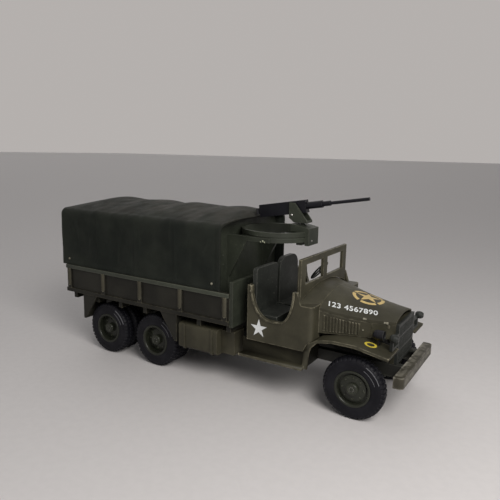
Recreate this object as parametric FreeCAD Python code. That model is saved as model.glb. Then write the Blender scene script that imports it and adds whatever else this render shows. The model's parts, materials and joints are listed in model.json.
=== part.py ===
"""Die-cast model, one fiftieth of the real size, of a six-wheel military cargo truck.

All lengths are millimetres of the model. X runs forward, Y to the truck's left and Z up.
The origin lies on the ground under the middle of the model's box. Each function below builds
one sub-part, and the table at the end gives each of them its node.
"""
import FreeCAD, Part
import math
import os

from FreeCAD import Vector

# General values of the model
OVERRUN = 1.0
SEAT_GAP = 0.05
RUNNING_GAP = 0.08

# Lengths along the truck, from the front axle
FRONT_OVERHANG = 13.7
WHEELBASE = 71.4
BOGIE_SPREAD = 22.6
COWL_SETBACK = 16.5
CAB_LENGTH = 18.0
CAB_TO_BED = 4.0
BED_LENGTH = 75.0
COVER_TAIL = 2.0

# Wheels
TYRE_RADIUS = 9.2
TYRE_WIDTH = 4.2
TYRE_SHOULDER = 1.0
TYRE_SIDES = 36
BEAD_RADIUS = 5.1
RIM_WALL = 0.55
RIM_LIP = 0.35
DISC_THICKNESS = 0.7
FRONT_DISH = 1.3
REAR_DISH = 2.3
HUB_RADIUS = 1.7
FRONT_HUB_LENGTH = 1.5
REAR_HUB_LENGTH = 1.9
FRONT_WHEEL_FACE = 18.3
REAR_WHEEL_FACE = 20.0
TWIN_GAP = 1.0
AXLE_ROD_RADIUS = 0.7

# Chassis frame
RAIL_SPREAD = 8.6
RAIL_FLANGE = 2.2
RAIL_HEIGHT = 3.4
RAIL_WALL = 0.6
RAIL_ABOVE_AXLE = 2.6
RAIL_TAIL = 2.4
CROSS_MEMBER_WIDTH = 1.6
CROSS_MEMBER_DEPTH = 2.2
TRANSFER_SHARE = 0.4
CROSS_MEMBER_SHARES = (0.06, 0.3, TRANSFER_SHARE, 0.56, 0.92, 1.0)

# Bumper
BUMPER_HALF_WIDTH = 16.6
BUMPER_HEIGHT = 3.2
BUMPER_DEPTH = 2.8
BUMPER_WALL = 0.6
BUMPER_CORNER = 1.3

# Axle cases, springs and drive line
CASE_RADIUS = 1.45
CASE_END_GAP = 0.4
BOWL_RADIUS = 3.1
BOWL_WIDTH = 3.4
BOWL_OFFSET = 2.6
BOWL_FLAT_SHARE = 0.7
BOWL_RIM_SHARE = 0.33
KNUCKLE_RADIUS = 1.35
KNUCKLE_HEIGHT = 4.4
KNUCKLE_INSET = 1.7
SPRING_WIDTH = 1.3
SPRING_LEAF = 0.32
FRONT_LEAVES = 3
REAR_LEAVES = 4
FRONT_SPRING_HALF = 9.6
TRUNNION_RADIUS = 1.1
TRUNNION_DROP = 1.6
ENGINE_LENGTH = 15.0
ENGINE_HALF_WIDTH = 3.6
ENGINE_HEIGHT = 7.5
ENGINE_AHEAD = 3.0
SUMP_DROP = 3.4
SUMP_WIDTH_SHARE = 0.8
GEARBOX_LENGTH = 9.0
GEARBOX_RADIUS = 2.2
TRANSFER_LENGTH = 6.0
TRANSFER_HALF_WIDTH = 3.4
TRANSFER_HEIGHT = 5.2
TRANSFER_BELOW = 1.2
SHAFT_RADIUS = 0.6

# Tank and tool chest under the bed
TANK_LENGTH = 15.3
TANK_FRONT_GAP = 5.9
TANK_HEIGHT = 8.5
TANK_WIDTH = 8.4
TANK_CORNER = 1.1
STRAP_WIDTH = 0.9
STRAP_HEIGHT = 0.25
STRAP_SHARES = (0.15, 0.87)
LOCKER_LENGTH = 5.0
LOCKER_INSET = 2.8
LOCKER_RISE = 0.4
HANGER_WIDTH = 1.4

# Cab
CAB_HALF_WIDTH = 19.0
CAB_WALL = 1.0
CAB_LIFT = 2.1
CAB_FLOOR = 0.9
CAB_SIDE_HEIGHT = 17.3
COWL_LENGTH = 3.9
COWL_CORNER = 1.4
COWL_SIDE_HEIGHT = 13.6
DOOR_SILL = 7.3
DOOR_REAR_INSET = 1.6
DOOR_FRONT_INSET = 2.5
DOOR_REAR_RUN = 6.0
DOOR_FRONT_RUN = 4.6
DOOR_CURVE_STEPS = 7
DOOR_RIM = 0.55
DOOR_RIM_PROUD = 0.3

# Windscreen frame
SCREEN_SETBACK = 1.4
SCREEN_THICKNESS = 0.95
SCREEN_INSET = 1.6
SCREEN_POST = 3.0
SCREEN_MULLION = 2.9
SCREEN_SILL = 1.3
SCREEN_PANE = 5.9
SCREEN_HEADER = 1.9

# Bonnet, its sides and the radiator
CREASE_INSET = 4.3
CREASE_FRONT_HALF = 7.9
CREASE_REAR_Z = 30.2
CREASE_MID_Z = 28.3
CREASE_FRONT_Z = 27.7
CROWN_COWL_Z = 34.9
CROWN_REAR_Z = 33.7
CROWN_MID_Z = 31.4
CROWN_FRONT_Z = 29.3
CREASE_MID_SHARE = 0.47
BONNET_STEPS = 6
PANEL_TOP_GAP = 0.08
BONNET_SKIN = 0.7
BONNET_FLANGE = 0.9
BONNET_NOSE = 8.4
SIDE_PANEL_GAP = 0.15
SIDE_PANEL_FRONT = 1.9
LOUVRE_COUNT = 12
LOUVRE_PITCH = 0.87
LOUVRE_START = 1.4
LOUVRE_WIDTH = 0.5
LOUVRE_FOOT_GAP = 0.7
LOUVRE_PROUD = 0.4
RADIATOR_DEPTH = 1.2
RADIATOR_FRAME = 1.3

# Guard in front of the radiator
GUARD_THICKNESS = 0.9
GUARD_HALF_WIDTH = 8.0
GUARD_TOP = 27.1
GUARD_FRAME = 0.9
GUARD_BAR_PITCH = 1.24
GUARD_BAR_COUNT = 11
GUARD_BAR_WIDTH = 0.5
GUARD_RAIL_SHARES = (0.34, 0.67)
WING_REACH = 13.4
WING_BAR = 0.8
WING_FOOT_GAP = 0.1
WING_TOP = 24.7
WING_KNOB = 1.2
WING_KNOB_SHARES = ((0.0, 0.6), (0.4, 0.9), (1.0, 1.0), (1.6, 0.9), (2.0, 0.6))

# Headlamps
LAMP_RADIUS = 1.5
LAMP_BACK_SHARES = ((0.45, 0.0), (0.86, 0.14), (1.0, 0.4))
LAMP_RIM = 0.2
LAMP_LENGTH = 3.2
LAMP_FRONT = 6.4
LAMP_SPREAD = 12.0
LAMP_HEIGHT = 24.4
LAMP_FOOT = 0.55

# Fenders and running boards
FENDER_INSET = 0.4
FENDER_INNER = 9.2
FENDER_SHEET = 0.8
FENDER_LIP = 0.6
FENDER_LIP_DEPTH = 0.9
FENDER_TOP = 22.3
FENDER_NOSE = 9.9
FENDER_NOSE_DROP = 1.8
FENDER_BACK_SHARES = ((0.4, 0.0), (0.68, 0.16), (0.84, 0.48), (0.92, 1.0))
BOARD_PROUD = 1.5
BOARD_THICKNESS = 0.8
BOARD_Z = 11.9
BOARD_TAIL = 2.2
APRON_INSET = 1.4

# Seats and steering
SEAT_DEPTH = 8.6
SEAT_PAD = 2.2
SEAT_BOX_HEIGHT = 5.2
BACK_THICKNESS = 1.4
BACK_TOP_RIGHT = 39.6
BACK_TOP_LEFT = 40.6
SEAT_RIGHT_SHARES = (0.26, 0.985)
SEAT_LEFT_SHARES = (-0.17, 0.555)
SEAT_WALL_GAP = 0.1
BACK_CORNER = 1.0
BACK_ROUND = 4.0
WHEEL_RING_RADIUS = 3.7
WHEEL_RING_WIRE = 0.28
WHEEL_RING_SIDES = 8
STEERING_OFFSET = 8.4
STEERING_RISE = 35.6
STEERING_SETBACK = 6.6
STEERING_RAKE = 38.0
COLUMN_RADIUS = 0.5
STEERING_SPOKES = 3
SPOKE_START_SHARE = 0.25

# Cargo bed
BED_HALF_WIDTH = 21.2
LONG_SILL = 3.3
CROSS_SILL = 2.5
CROSS_SILL_WIDTH = 1.6
CROSS_SILL_COUNT = 7
FLOOR_THICKNESS = 1.4
FLOOR_LIP = 0.5
SIDE_HEIGHT = 8.9
SIDE_WALL = 0.9
SIDE_RAIL_HEIGHT = 1.0
POST_WIDTH = 2.0
POST_PROUD = 0.5
POST_COUNT = 5
POST_END_GAP = 0.6
HEADBOARD_THICKNESS = 1.2
HEADBOARD_HEIGHT = 12.6
TAILGATE_THICKNESS = 1.1

# Splash flaps on each side of the rear wheels
FLAP_SHEET = 0.9
FLAP_CLEARANCE = 0.8
FLAP_DROP = 9.3
FLAP_GUSSET = 6.2
FLAP_INNER = 11.0
FLAP_EDGE_INSET = 0.3

# Canvas cover
COVER_INSET = 0.1
COVER_SKIN = 0.8
COVER_SETBACK = 5.0
COVER_SIDE = 18.7
COVER_SHOULDER = 2.4
COVER_CROWN = 3.3
COVER_SAG = 0.7
COVER_FRONT_DROP = 2.0
COVER_BAYS = 5
COVER_BAY_STEPS = 4
COVER_DOOR_HALF = 12.5
COVER_DOOR_HEIGHT = 14.5

# Ring mount over the cab
BULKHEAD_RECESS = 3.4
BULKHEAD_GAP = 0.2
BULKHEAD_TOP_GAP = 0.3
BULKHEAD_THICKNESS = 0.9
RING_RADIUS = 12.0
RING_BAND = 0.9
RING_HEIGHT = 3.2
RING_TOP = 49.95
RING_GROOVE = 0.25
RING_GROOVE_HEIGHT = 0.4
ARM_HEIGHT = 1.4
ARM_WIDTH = 1.1
ARM_NOSE = 3.6
GUSSET_LENGTH = 7.5
GUSSET_HEIGHT = 14.2
GUSSET_STEM = 0.7
CARRIAGE_HALF_WIDTH = 3.6
CARRIAGE_WALL = 0.8
CARRIAGE_DEPTH = 6.4
CARRIAGE_DROP = 4.3
CARRIAGE_TOP = 1.1
CARRIAGE_LEG_SHARE = 0.33
CARRIAGE_RISE = 1.2
PIVOT_SETBACK = 3.9
PIVOT_RADIUS = 0.6

# Cradle and gun
CRADLE_BASE = 0.7
CRADLE_LIFT = 0.15
CRADLE_HALF_LENGTH = 2.3
CRADLE_ARM = 0.6
CRADLE_CLEARANCE = 0.25
TRUNNION_SETBACK = 3.1
TRUNNION_RISE = 2.3
CRADLE_TOP = 3.9
CRADLE_STRAP = 1.9
GUN_PIN_RADIUS = 0.45
GUN_PITCH = 9.5
GUN_HALF_WIDTH = 1.2
GUN_REAR = 12.2
GUN_FRONT = 4.8
GUN_BELOW = 0.2
GUN_HEIGHT = 4.1
GUN_LUG = 0.9
BORE_HEIGHT = 2.4
JACKET_RADIUS = 1.15
JACKET_LENGTH = 5.4
SLEEVE_RADIUS = 0.8
SLEEVE_LENGTH = 2.7
BARREL_RADIUS = 0.52
MUZZLE_REACH = 25.4
GRIP_SPAN = 1.6
GRIP_FOOT_SHARE = 0.25
GRIP_HEIGHT_SHARE = 0.5
GRIP_RADIUS = 0.4
GRIP_SETBACK = 1.0

# Stations worked out from the lengths above
OVERALL_LENGTH = (FRONT_OVERHANG + COWL_SETBACK + CAB_LENGTH + CAB_TO_BED + BED_LENGTH
                  + COVER_TAIL)
NOSE_X = OVERALL_LENGTH / 2
FRONT_AXLE_X = NOSE_X - FRONT_OVERHANG
MIDDLE_AXLE_X = FRONT_AXLE_X - WHEELBASE
REAR_AXLE_X = MIDDLE_AXLE_X - BOGIE_SPREAD
COWL_X = FRONT_AXLE_X - COWL_SETBACK
CAB_REAR_X = COWL_X - CAB_LENGTH
BED_FRONT_X = CAB_REAR_X - CAB_TO_BED
BED_REAR_X = BED_FRONT_X - BED_LENGTH
COVER_FRONT_X = BED_FRONT_X - COVER_SETBACK
COVER_REAR_X = BED_REAR_X - COVER_TAIL
BONNET_REAR_X = COWL_X + COWL_LENGTH
BONNET_NOSE_X = FRONT_AXLE_X + BONNET_NOSE
SEAM_X = FRONT_AXLE_X + SIDE_PANEL_FRONT
GUARD_X = BONNET_NOSE_X + SEAT_GAP

# Half widths worked out from those of the cab and the bed
CREASE_REAR_HALF = CAB_HALF_WIDTH - CREASE_INSET
FENDER_OUTER = CAB_HALF_WIDTH - FENDER_INSET
BOARD_OUTER = CAB_HALF_WIDTH + BOARD_PROUD
SCREEN_HALF_WIDTH = CAB_HALF_WIDTH - SCREEN_INSET
COVER_HALF_WIDTH = BED_HALF_WIDTH - COVER_INSET

# Levels worked out from the heights above
AXLE_Z = TYRE_RADIUS
RAIL_BOTTOM = AXLE_Z + RAIL_ABOVE_AXLE
RAIL_TOP = RAIL_BOTTOM + RAIL_HEIGHT
CAB_Z = RAIL_TOP + CAB_LIFT
CAB_TOP = CAB_Z + CAB_SIDE_HEIGHT
CROSS_SILL_Z = RAIL_TOP + LONG_SILL
FLOOR_Z = CROSS_SILL_Z + CROSS_SILL
DECK_Z = FLOOR_Z + FLOOR_THICKNESS
SIDE_TOP = DECK_Z + SIDE_HEIGHT
SHOULDER_Z = SIDE_TOP + COVER_SIDE
SIDE_PANEL_FOOT = FENDER_TOP + SIDE_PANEL_GAP
SCREEN_Z = CROWN_COWL_Z + SEAT_GAP

# Directions and a whole turn in degrees
AXIS_X = Vector(1, 0, 0)
AXIS_Y = Vector(0, 1, 0)
AXIS_Z = Vector(0, 0, 1)
FULL_TURN = 360
PARALLEL_SHARE = 0.999


def box(x0, x1, y0, y1, z0, z1):
    """Return a block between two corners, given in any order."""
    low = Vector(min(x0, x1), min(y0, y1), min(z0, z1))
    return Part.makeBox(abs(x1 - x0), abs(y1 - y0), abs(z1 - z0), low)


def face_of(points):
    """Return the flat face inside a closed run of points."""
    return Part.Face(Part.makePolygon(list(points) + [points[0]]))


def prism_xz(points, y0, y1):
    """Extrude an outline drawn in X and Z from y0 to y1."""
    face = face_of([Vector(x, y0, z) for x, z in points])
    return face.extrude(Vector(0, y1 - y0, 0))


def prism_yz(points, x0, x1):
    """Extrude an outline drawn in Y and Z from x0 to x1."""
    face = face_of([Vector(x0, y, z) for y, z in points])
    return face.extrude(Vector(x1 - x0, 0, 0))


def rod(start, end, radius):
    """Return a round bar from one point to another."""
    run = end.sub(start)
    return Part.makeCylinder(radius, run.Length, start, run)


def turned_y(profile, x, z):
    """Revolve an outline of radius and Y about the axle line at x and z."""
    face = face_of([Vector(x, y, z + radius) for radius, y in profile])
    return face.revolve(Vector(x, 0, z), AXIS_Y, FULL_TURN)


def turned_about(profile, start, direction):
    """Revolve an outline of radius and distance along a line about that line."""
    side = direction.cross(AXIS_Z if abs(direction.z) < abs(direction.y) + abs(direction.x)
                           else AXIS_X).normalize()
    face = face_of([start + direction * along + side * radius for radius, along in profile])
    return face.revolve(start, direction, FULL_TURN)


def mirrored(shape):
    """Return the shape's mirror image on the truck's other side."""
    return shape.mirror(Vector(0, 0, 0), AXIS_Y)


def joined(shapes):
    """Fuse shapes that touch into one solid without seams."""
    first, *others = shapes
    if not others:
        return first
    return first.fuse(others).removeSplitter()


def both_sides(shape):
    """Return a shape and its mirror image as separate solids."""
    return [shape, mirrored(shape)]


def round_edges(shape, radius, chosen):
    """Round the edges that a test picks out by their middle point and direction."""
    edges = []
    for edge in shape.Edges:
        middle = edge.valueAt((edge.FirstParameter + edge.LastParameter) / 2)
        if chosen(edge, middle):
            edges.append(edge)
    return shape.makeFillet(radius, edges)


def runs_along(edge, axis):
    """Tell whether a straight edge runs along an axis."""
    if not isinstance(edge.Curve, Part.Line):
        return False
    return abs(edge.tangentAt(edge.FirstParameter).dot(axis)) > PARALLEL_SHARE


def even_polygon(x, y, radius):
    """Wire with TYRE_SIDES sides round the axle line at x, with one corner at the ground."""
    points = []
    for side in range(TYRE_SIDES + 1):
        angle = math.tau * side / TYRE_SIDES
        points.append(Vector(x + radius * math.sin(angle), y,
                             AXLE_Z - radius * math.cos(angle)))
    return Part.makePolygon(points)


def ruled_turn(profile, x):
    """Solid through polygons round the axle line, from an outline of radius and Y."""
    return Part.makeLoft([even_polygon(x, y, radius) for radius, y in profile], True, True)


def tyre(x, face_y, width):
    """One tyre: a ring with sloped shoulders and beads whose outer side is at face_y."""
    inner = BEAD_RADIUS + SEAT_GAP
    outer = TYRE_RADIUS
    back = face_y - width
    solid = ruled_turn([
        (outer - TYRE_SHOULDER, face_y),
        (outer, face_y - TYRE_SHOULDER),
        (outer, back + TYRE_SHOULDER),
        (outer - TYRE_SHOULDER, back),
    ], x)
    bore = ruled_turn([
        (inner + TYRE_SHOULDER, face_y),
        (inner, face_y - TYRE_SHOULDER / 2),
        (inner, back + TYRE_SHOULDER / 2),
        (inner + TYRE_SHOULDER, back),
    ], x)
    return solid.cut(bore)


def rim(x, face_y, depth, dish, hub_length):
    """One pressed wheel: a barrel, a dished disc and the hub that grips the axle rod."""
    lip_y = face_y - RIM_LIP
    back = face_y - depth + RIM_LIP
    disc = face_y - dish
    bore = AXLE_ROD_RADIUS + SEAT_GAP / 2
    hub_y = disc + hub_length
    profile = [
        (bore, disc - DISC_THICKNESS),
        (bore, hub_y),
        (HUB_RADIUS, hub_y),
        (HUB_RADIUS, disc),
        (BEAD_RADIUS - RIM_WALL, disc),
        (BEAD_RADIUS - RIM_WALL, lip_y),
        (BEAD_RADIUS, lip_y),
        (BEAD_RADIUS, back),
        (BEAD_RADIUS - RIM_WALL, back),
        (BEAD_RADIUS - RIM_WALL, disc - DISC_THICKNESS),
    ]
    return turned_y(profile, x, AXLE_Z)


def front_tyres():
    """The two single tyres on the front axle."""
    return both_sides(tyre(FRONT_AXLE_X, FRONT_WHEEL_FACE, TYRE_WIDTH))


def twin_tyres(x):
    """The four tyres of one rear axle, in two twin pairs."""
    outer = tyre(x, REAR_WHEEL_FACE, TYRE_WIDTH)
    inner = tyre(x, REAR_WHEEL_FACE - TYRE_WIDTH - TWIN_GAP, TYRE_WIDTH)
    return both_sides(outer) + both_sides(inner)


def front_rims():
    """The two front wheels inside their tyres."""
    return both_sides(rim(FRONT_AXLE_X, FRONT_WHEEL_FACE, TYRE_WIDTH, FRONT_DISH,
                          FRONT_HUB_LENGTH))


def twin_rims(x):
    """The two rear wheels of an axle, each wide enough for its twin tyres."""
    depth = 2 * TYRE_WIDTH + TWIN_GAP
    return both_sides(rim(x, REAR_WHEEL_FACE, depth, REAR_DISH, REAR_HUB_LENGTH))


def axle_rod(x, face_y, dish, hub_length):
    """The wire axle that joins the wheels of one axle."""
    reach = face_y - dish + hub_length - SEAT_GAP
    return [rod(Vector(x, -reach, AXLE_Z), Vector(x, reach, AXLE_Z), AXLE_ROD_RADIUS)]


def rail_x(share):
    """X of a place along the chassis rails, as a share of their length from the front."""
    front = NOSE_X - BUMPER_DEPTH
    rear = BED_REAR_X + RAIL_TAIL
    return front + (rear - front) * share


def chassis_frame():
    """Two channel rails with their cross members and the pads that carry the cab."""
    front = rail_x(0)
    rear = rail_x(1)
    inner = RAIL_SPREAD - RAIL_FLANGE
    rail = box(rear, front, inner, RAIL_SPREAD, RAIL_BOTTOM, RAIL_TOP)
    hollow = box(rear - OVERRUN, front + OVERRUN, inner - OVERRUN, RAIL_SPREAD - RAIL_WALL,
                 RAIL_BOTTOM + RAIL_WALL, RAIL_TOP - RAIL_WALL)
    rail = rail.cut(hollow)
    pieces = both_sides(rail)
    middle_z = (RAIL_BOTTOM + RAIL_TOP) / 2
    web = RAIL_SPREAD - RAIL_WALL
    stations = [rail_x(share) for share in CROSS_MEMBER_SHARES]
    stations[-1] += CROSS_MEMBER_WIDTH / 2
    stations.append((MIDDLE_AXLE_X + REAR_AXLE_X) / 2)
    for x in stations:
        pieces.append(box(x - CROSS_MEMBER_WIDTH / 2, x + CROSS_MEMBER_WIDTH / 2, -web, web,
                          middle_z - CROSS_MEMBER_DEPTH / 2, middle_z + CROSS_MEMBER_DEPTH / 2))
    for x in (COWL_X - CROSS_MEMBER_WIDTH, CAB_REAR_X + CROSS_MEMBER_WIDTH):
        pad = box(x - CROSS_MEMBER_WIDTH / 2, x + CROSS_MEMBER_WIDTH / 2, inner, RAIL_SPREAD,
                  RAIL_TOP, CAB_Z)
        pieces.extend(both_sides(pad))
    return [joined(pieces)]


def front_bumper():
    """The channel bumper, open to the rear, with rounded ends."""
    back = NOSE_X - BUMPER_DEPTH
    top = RAIL_BOTTOM + BUMPER_HEIGHT
    bar = box(back, NOSE_X, -BUMPER_HALF_WIDTH, BUMPER_HALF_WIDTH, RAIL_BOTTOM, top)

    def front_corner(edge, middle):
        return runs_along(edge, AXIS_Z) and middle.x > back + BUMPER_DEPTH / 2

    bar = round_edges(bar, BUMPER_CORNER, front_corner)
    hollow = box(back - OVERRUN, NOSE_X - BUMPER_WALL, -BUMPER_HALF_WIDTH + BUMPER_CORNER,
                 BUMPER_HALF_WIDTH - BUMPER_CORNER, RAIL_BOTTOM + BUMPER_WALL,
                 top - BUMPER_WALL)
    return [bar.cut(hollow)]


def axle_case(x, reach, bowl_y):
    """A banjo axle case with the round bowl of its final drive, bored for the axle rod."""
    tube = rod(Vector(x, -reach, AXLE_Z), Vector(x, reach, AXLE_Z), CASE_RADIUS)
    half = BOWL_WIDTH / 2
    bowl_profile = [
        (0, bowl_y - half),
        (BOWL_RADIUS * BOWL_FLAT_SHARE, bowl_y - half),
        (BOWL_RADIUS, bowl_y - half * BOWL_RIM_SHARE),
        (BOWL_RADIUS, bowl_y + half * BOWL_RIM_SHARE),
        (BOWL_RADIUS * BOWL_FLAT_SHARE, bowl_y + half),
        (0, bowl_y + half),
    ]
    return [tube, turned_y(bowl_profile, x, AXLE_Z)]


def bored_for_rod(shape, x, reach):
    """Bore a case for its axle rod, with a running fit."""
    bore = rod(Vector(x, -reach - OVERRUN, AXLE_Z), Vector(x, reach + OVERRUN, AXLE_Z),
               AXLE_ROD_RADIUS + RUNNING_GAP)
    return shape.cut(bore)


def front_axle_case():
    """The driven front axle with its upright steering knuckles, fixed straight ahead."""
    reach = FRONT_WHEEL_FACE - TYRE_WIDTH - CASE_END_GAP
    pieces = axle_case(FRONT_AXLE_X, reach, BOWL_OFFSET)
    for side in (-1, 1):
        y = side * (reach - KNUCKLE_INSET)
        pieces.append(rod(Vector(FRONT_AXLE_X, y, AXLE_Z - KNUCKLE_HEIGHT / 2),
                          Vector(FRONT_AXLE_X, y, AXLE_Z + KNUCKLE_HEIGHT / 2),
                          KNUCKLE_RADIUS))
    return [bored_for_rod(joined(pieces), FRONT_AXLE_X, reach)]


def rear_axle_case(x):
    """One of the two driven rear axles."""
    reach = REAR_WHEEL_FACE - 2 * TYRE_WIDTH - TWIN_GAP - CASE_END_GAP
    return [bored_for_rod(joined(axle_case(x, reach, BOWL_OFFSET)), x, reach)]


def front_springs():
    """Front leaf springs between the axle and the rails, longest leaf on top."""
    foot = AXLE_Z + CASE_RADIUS + SEAT_GAP
    room = RAIL_BOTTOM - foot
    leaf = room / FRONT_LEAVES
    y0 = RAIL_SPREAD - SPRING_WIDTH
    pieces = []
    for level in range(FRONT_LEAVES):
        half = FRONT_SPRING_HALF * (level + 1) / FRONT_LEAVES
        low = foot + level * leaf
        pieces.append(box(FRONT_AXLE_X - half, FRONT_AXLE_X + half, y0, RAIL_SPREAD, low,
                          low + leaf))
    return both_sides(joined(pieces))


def rear_springs():
    """Rear springs: each rocks on the trunnion and rests its tips on both axles."""
    pivot_x = (MIDDLE_AXLE_X + REAR_AXLE_X) / 2
    foot = AXLE_Z + CASE_RADIUS + SEAT_GAP
    y0 = RAIL_SPREAD + SEAT_GAP
    y1 = y0 + SPRING_WIDTH
    pieces = []
    for level in range(REAR_LEAVES):
        half = (BOGIE_SPREAD / 2) * (REAR_LEAVES - level) / REAR_LEAVES + SPRING_LEAF
        low = foot + level * SPRING_LEAF
        pieces.append(box(pivot_x - half, pivot_x + half, y0, y1, low, low + SPRING_LEAF))
    return both_sides(joined(pieces))


def trunnion():
    """The trunnion tube across the frame, with a bracket up to each rail."""
    x = (MIDDLE_AXLE_X + REAR_AXLE_X) / 2
    z = AXLE_Z + CASE_RADIUS - TRUNNION_DROP
    reach = RAIL_SPREAD + SEAT_GAP + SPRING_WIDTH
    tube = rod(Vector(x, -reach, z), Vector(x, reach, z), TRUNNION_RADIUS)
    inner = RAIL_SPREAD - RAIL_FLANGE
    bracket = prism_xz([(x - 2 * TRUNNION_RADIUS, RAIL_BOTTOM), (x - TRUNNION_RADIUS, z),
                        (x + TRUNNION_RADIUS, z), (x + 2 * TRUNNION_RADIUS, RAIL_BOTTOM)],
                       inner, RAIL_SPREAD)
    return [joined([tube] + both_sides(bracket))]


def power_unit():
    """The engine's plain block with its sump, and the gearbox behind it."""
    front = FRONT_AXLE_X + ENGINE_AHEAD
    rear = front - ENGINE_LENGTH
    low = RAIL_TOP - RAIL_WALL
    block = box(rear, front, -ENGINE_HALF_WIDTH, ENGINE_HALF_WIDTH, low, low + ENGINE_HEIGHT)
    case_clear = FRONT_AXLE_X - BOWL_RADIUS - OVERRUN
    sump_half = ENGINE_HALF_WIDTH * SUMP_WIDTH_SHARE
    sump = box(rear, case_clear, -sump_half, sump_half, low - SUMP_DROP, low)
    z = low + SEAT_GAP
    gearbox = rod(Vector(rear, 0, z), Vector(rear - GEARBOX_LENGTH, 0, z), GEARBOX_RADIUS)
    return [joined([block, sump, gearbox])]


def drive_line():
    """The transfer case under the frame, with its shafts to the three axles."""
    member_x = rail_x(TRANSFER_SHARE)
    front = member_x - CROSS_MEMBER_WIDTH / 2 - SEAT_GAP
    rear = front - TRANSFER_LENGTH
    low = RAIL_BOTTOM - TRANSFER_BELOW
    half = TRANSFER_HALF_WIDTH
    case = box(rear, front, -half, half, low, low + TRANSFER_HEIGHT)
    nose = AXLE_Z + CASE_RADIUS / 2
    over = AXLE_Z + CASE_RADIUS + SHAFT_RADIUS + RUNNING_GAP
    out_z = low + 2 * SHAFT_RADIUS
    pillow_y = BOWL_OFFSET - BOWL_WIDTH / 2 - 2 * SHAFT_RADIUS - RUNNING_GAP
    pillow = Vector(MIDDLE_AXLE_X, pillow_y, over)
    bowl_edge = BOWL_RADIUS + SEAT_GAP
    shafts = [
        (Vector(front, BOWL_OFFSET, out_z),
         Vector(FRONT_AXLE_X - bowl_edge, BOWL_OFFSET, nose)),
        (Vector(rear, BOWL_OFFSET, out_z),
         Vector(MIDDLE_AXLE_X + bowl_edge, BOWL_OFFSET, nose)),
        (Vector(rear, pillow_y, out_z), pillow),
        (pillow, Vector(REAR_AXLE_X + bowl_edge, BOWL_OFFSET, AXLE_Z + CASE_RADIUS)),
    ]
    return [joined([case] + [rod(start, end, SHAFT_RADIUS) for start, end in shafts])]


def canvas_section(x, half, foot, shoulder_z, crown_z, radius):
    """Closed outline of the cover across the truck at x."""
    side_low = Vector(x, -half, foot)
    side_top = Vector(x, -half, shoulder_z)
    bend = Vector(x, -half + radius * (1 - math.cos(math.pi / 4)),
                  shoulder_z + radius * math.sin(math.pi / 4))
    roof_start = Vector(x, -half + radius, shoulder_z + radius)
    crown = Vector(x, 0, crown_z)
    flip = [Vector(point.x, -point.y, point.z) for point in (side_low, side_top, bend,
                                                             roof_start)]
    edges = [
        Part.makeLine(side_low, side_top),
        Part.Arc(side_top, bend, roof_start).toShape(),
        Part.Arc(roof_start, crown, flip[3]).toShape(),
        Part.Arc(flip[3], flip[2], flip[1]).toShape(),
        Part.makeLine(flip[1], flip[0]),
        Part.makeLine(flip[0], side_low),
    ]
    return Part.Wire(edges)


def cover_crown_at(x):
    """Height of the cover's crown at x: sagging between its bows, rolled down in front."""
    bay = (COVER_FRONT_X - COVER_REAR_X) / COVER_BAYS
    behind = COVER_FRONT_X - x
    swing = math.sin(math.pi * behind / bay)
    roll = max(0, 1 - behind * COVER_BAY_STEPS / bay)
    return (SHOULDER_Z + COVER_SHOULDER + COVER_CROWN - COVER_SAG * swing ** 2
            - COVER_FRONT_DROP * roll)


def cover_volume(front, rear, inset, foot):
    """The cover's filled volume with its skin taken off by inset."""
    sections = []
    steps = COVER_BAYS * COVER_BAY_STEPS
    for step in range(steps + 1):
        x = front + (rear - front) * step / steps
        sections.append(canvas_section(x, COVER_HALF_WIDTH - inset, foot, SHOULDER_Z - inset,
                                       cover_crown_at(x) - inset, COVER_SHOULDER))
    return Part.makeLoft(sections, True, True)


def canvas_cover():
    """The moulded canvas cover: open below and in front, with a doorway in its rear end."""
    outer = cover_volume(COVER_FRONT_X, COVER_REAR_X, 0, SIDE_TOP)
    inner = cover_volume(COVER_FRONT_X + OVERRUN, COVER_REAR_X + COVER_SKIN, COVER_SKIN,
                         SIDE_TOP - OVERRUN)
    shell = outer.cut(inner)
    doorway = box(COVER_REAR_X - OVERRUN, COVER_REAR_X + COVER_SKIN + OVERRUN,
                  -COVER_DOOR_HALF, COVER_DOOR_HALF, SIDE_TOP - OVERRUN,
                  SIDE_TOP + COVER_DOOR_HEIGHT)
    return [shell.cut(doorway)]


def bed_floor():
    """The bed's floor on its long sills and cross sills."""
    edge = BED_HALF_WIDTH + FLOOR_LIP
    pieces = [box(BED_REAR_X, BED_FRONT_X - HEADBOARD_THICKNESS, -edge, edge, FLOOR_Z, DECK_Z)]
    inner = RAIL_SPREAD - RAIL_FLANGE
    long_sill = box(BED_REAR_X + RAIL_TAIL, BED_FRONT_X - HEADBOARD_THICKNESS, inner,
                    RAIL_SPREAD, RAIL_TOP, CROSS_SILL_Z)
    pieces.extend(both_sides(long_sill))
    first = BED_FRONT_X - HEADBOARD_THICKNESS - CROSS_SILL_WIDTH / 2
    last = BED_REAR_X + RAIL_TAIL + CROSS_SILL_WIDTH / 2
    for number in range(CROSS_SILL_COUNT):
        x = first + (last - first) * number / (CROSS_SILL_COUNT - 1)
        pieces.append(box(x - CROSS_SILL_WIDTH / 2, x + CROSS_SILL_WIDTH / 2,
                          -BED_HALF_WIDTH + SIDE_WALL, BED_HALF_WIDTH - SIDE_WALL,
                          CROSS_SILL_Z, FLOOR_Z))
    return [joined(pieces)]


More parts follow.
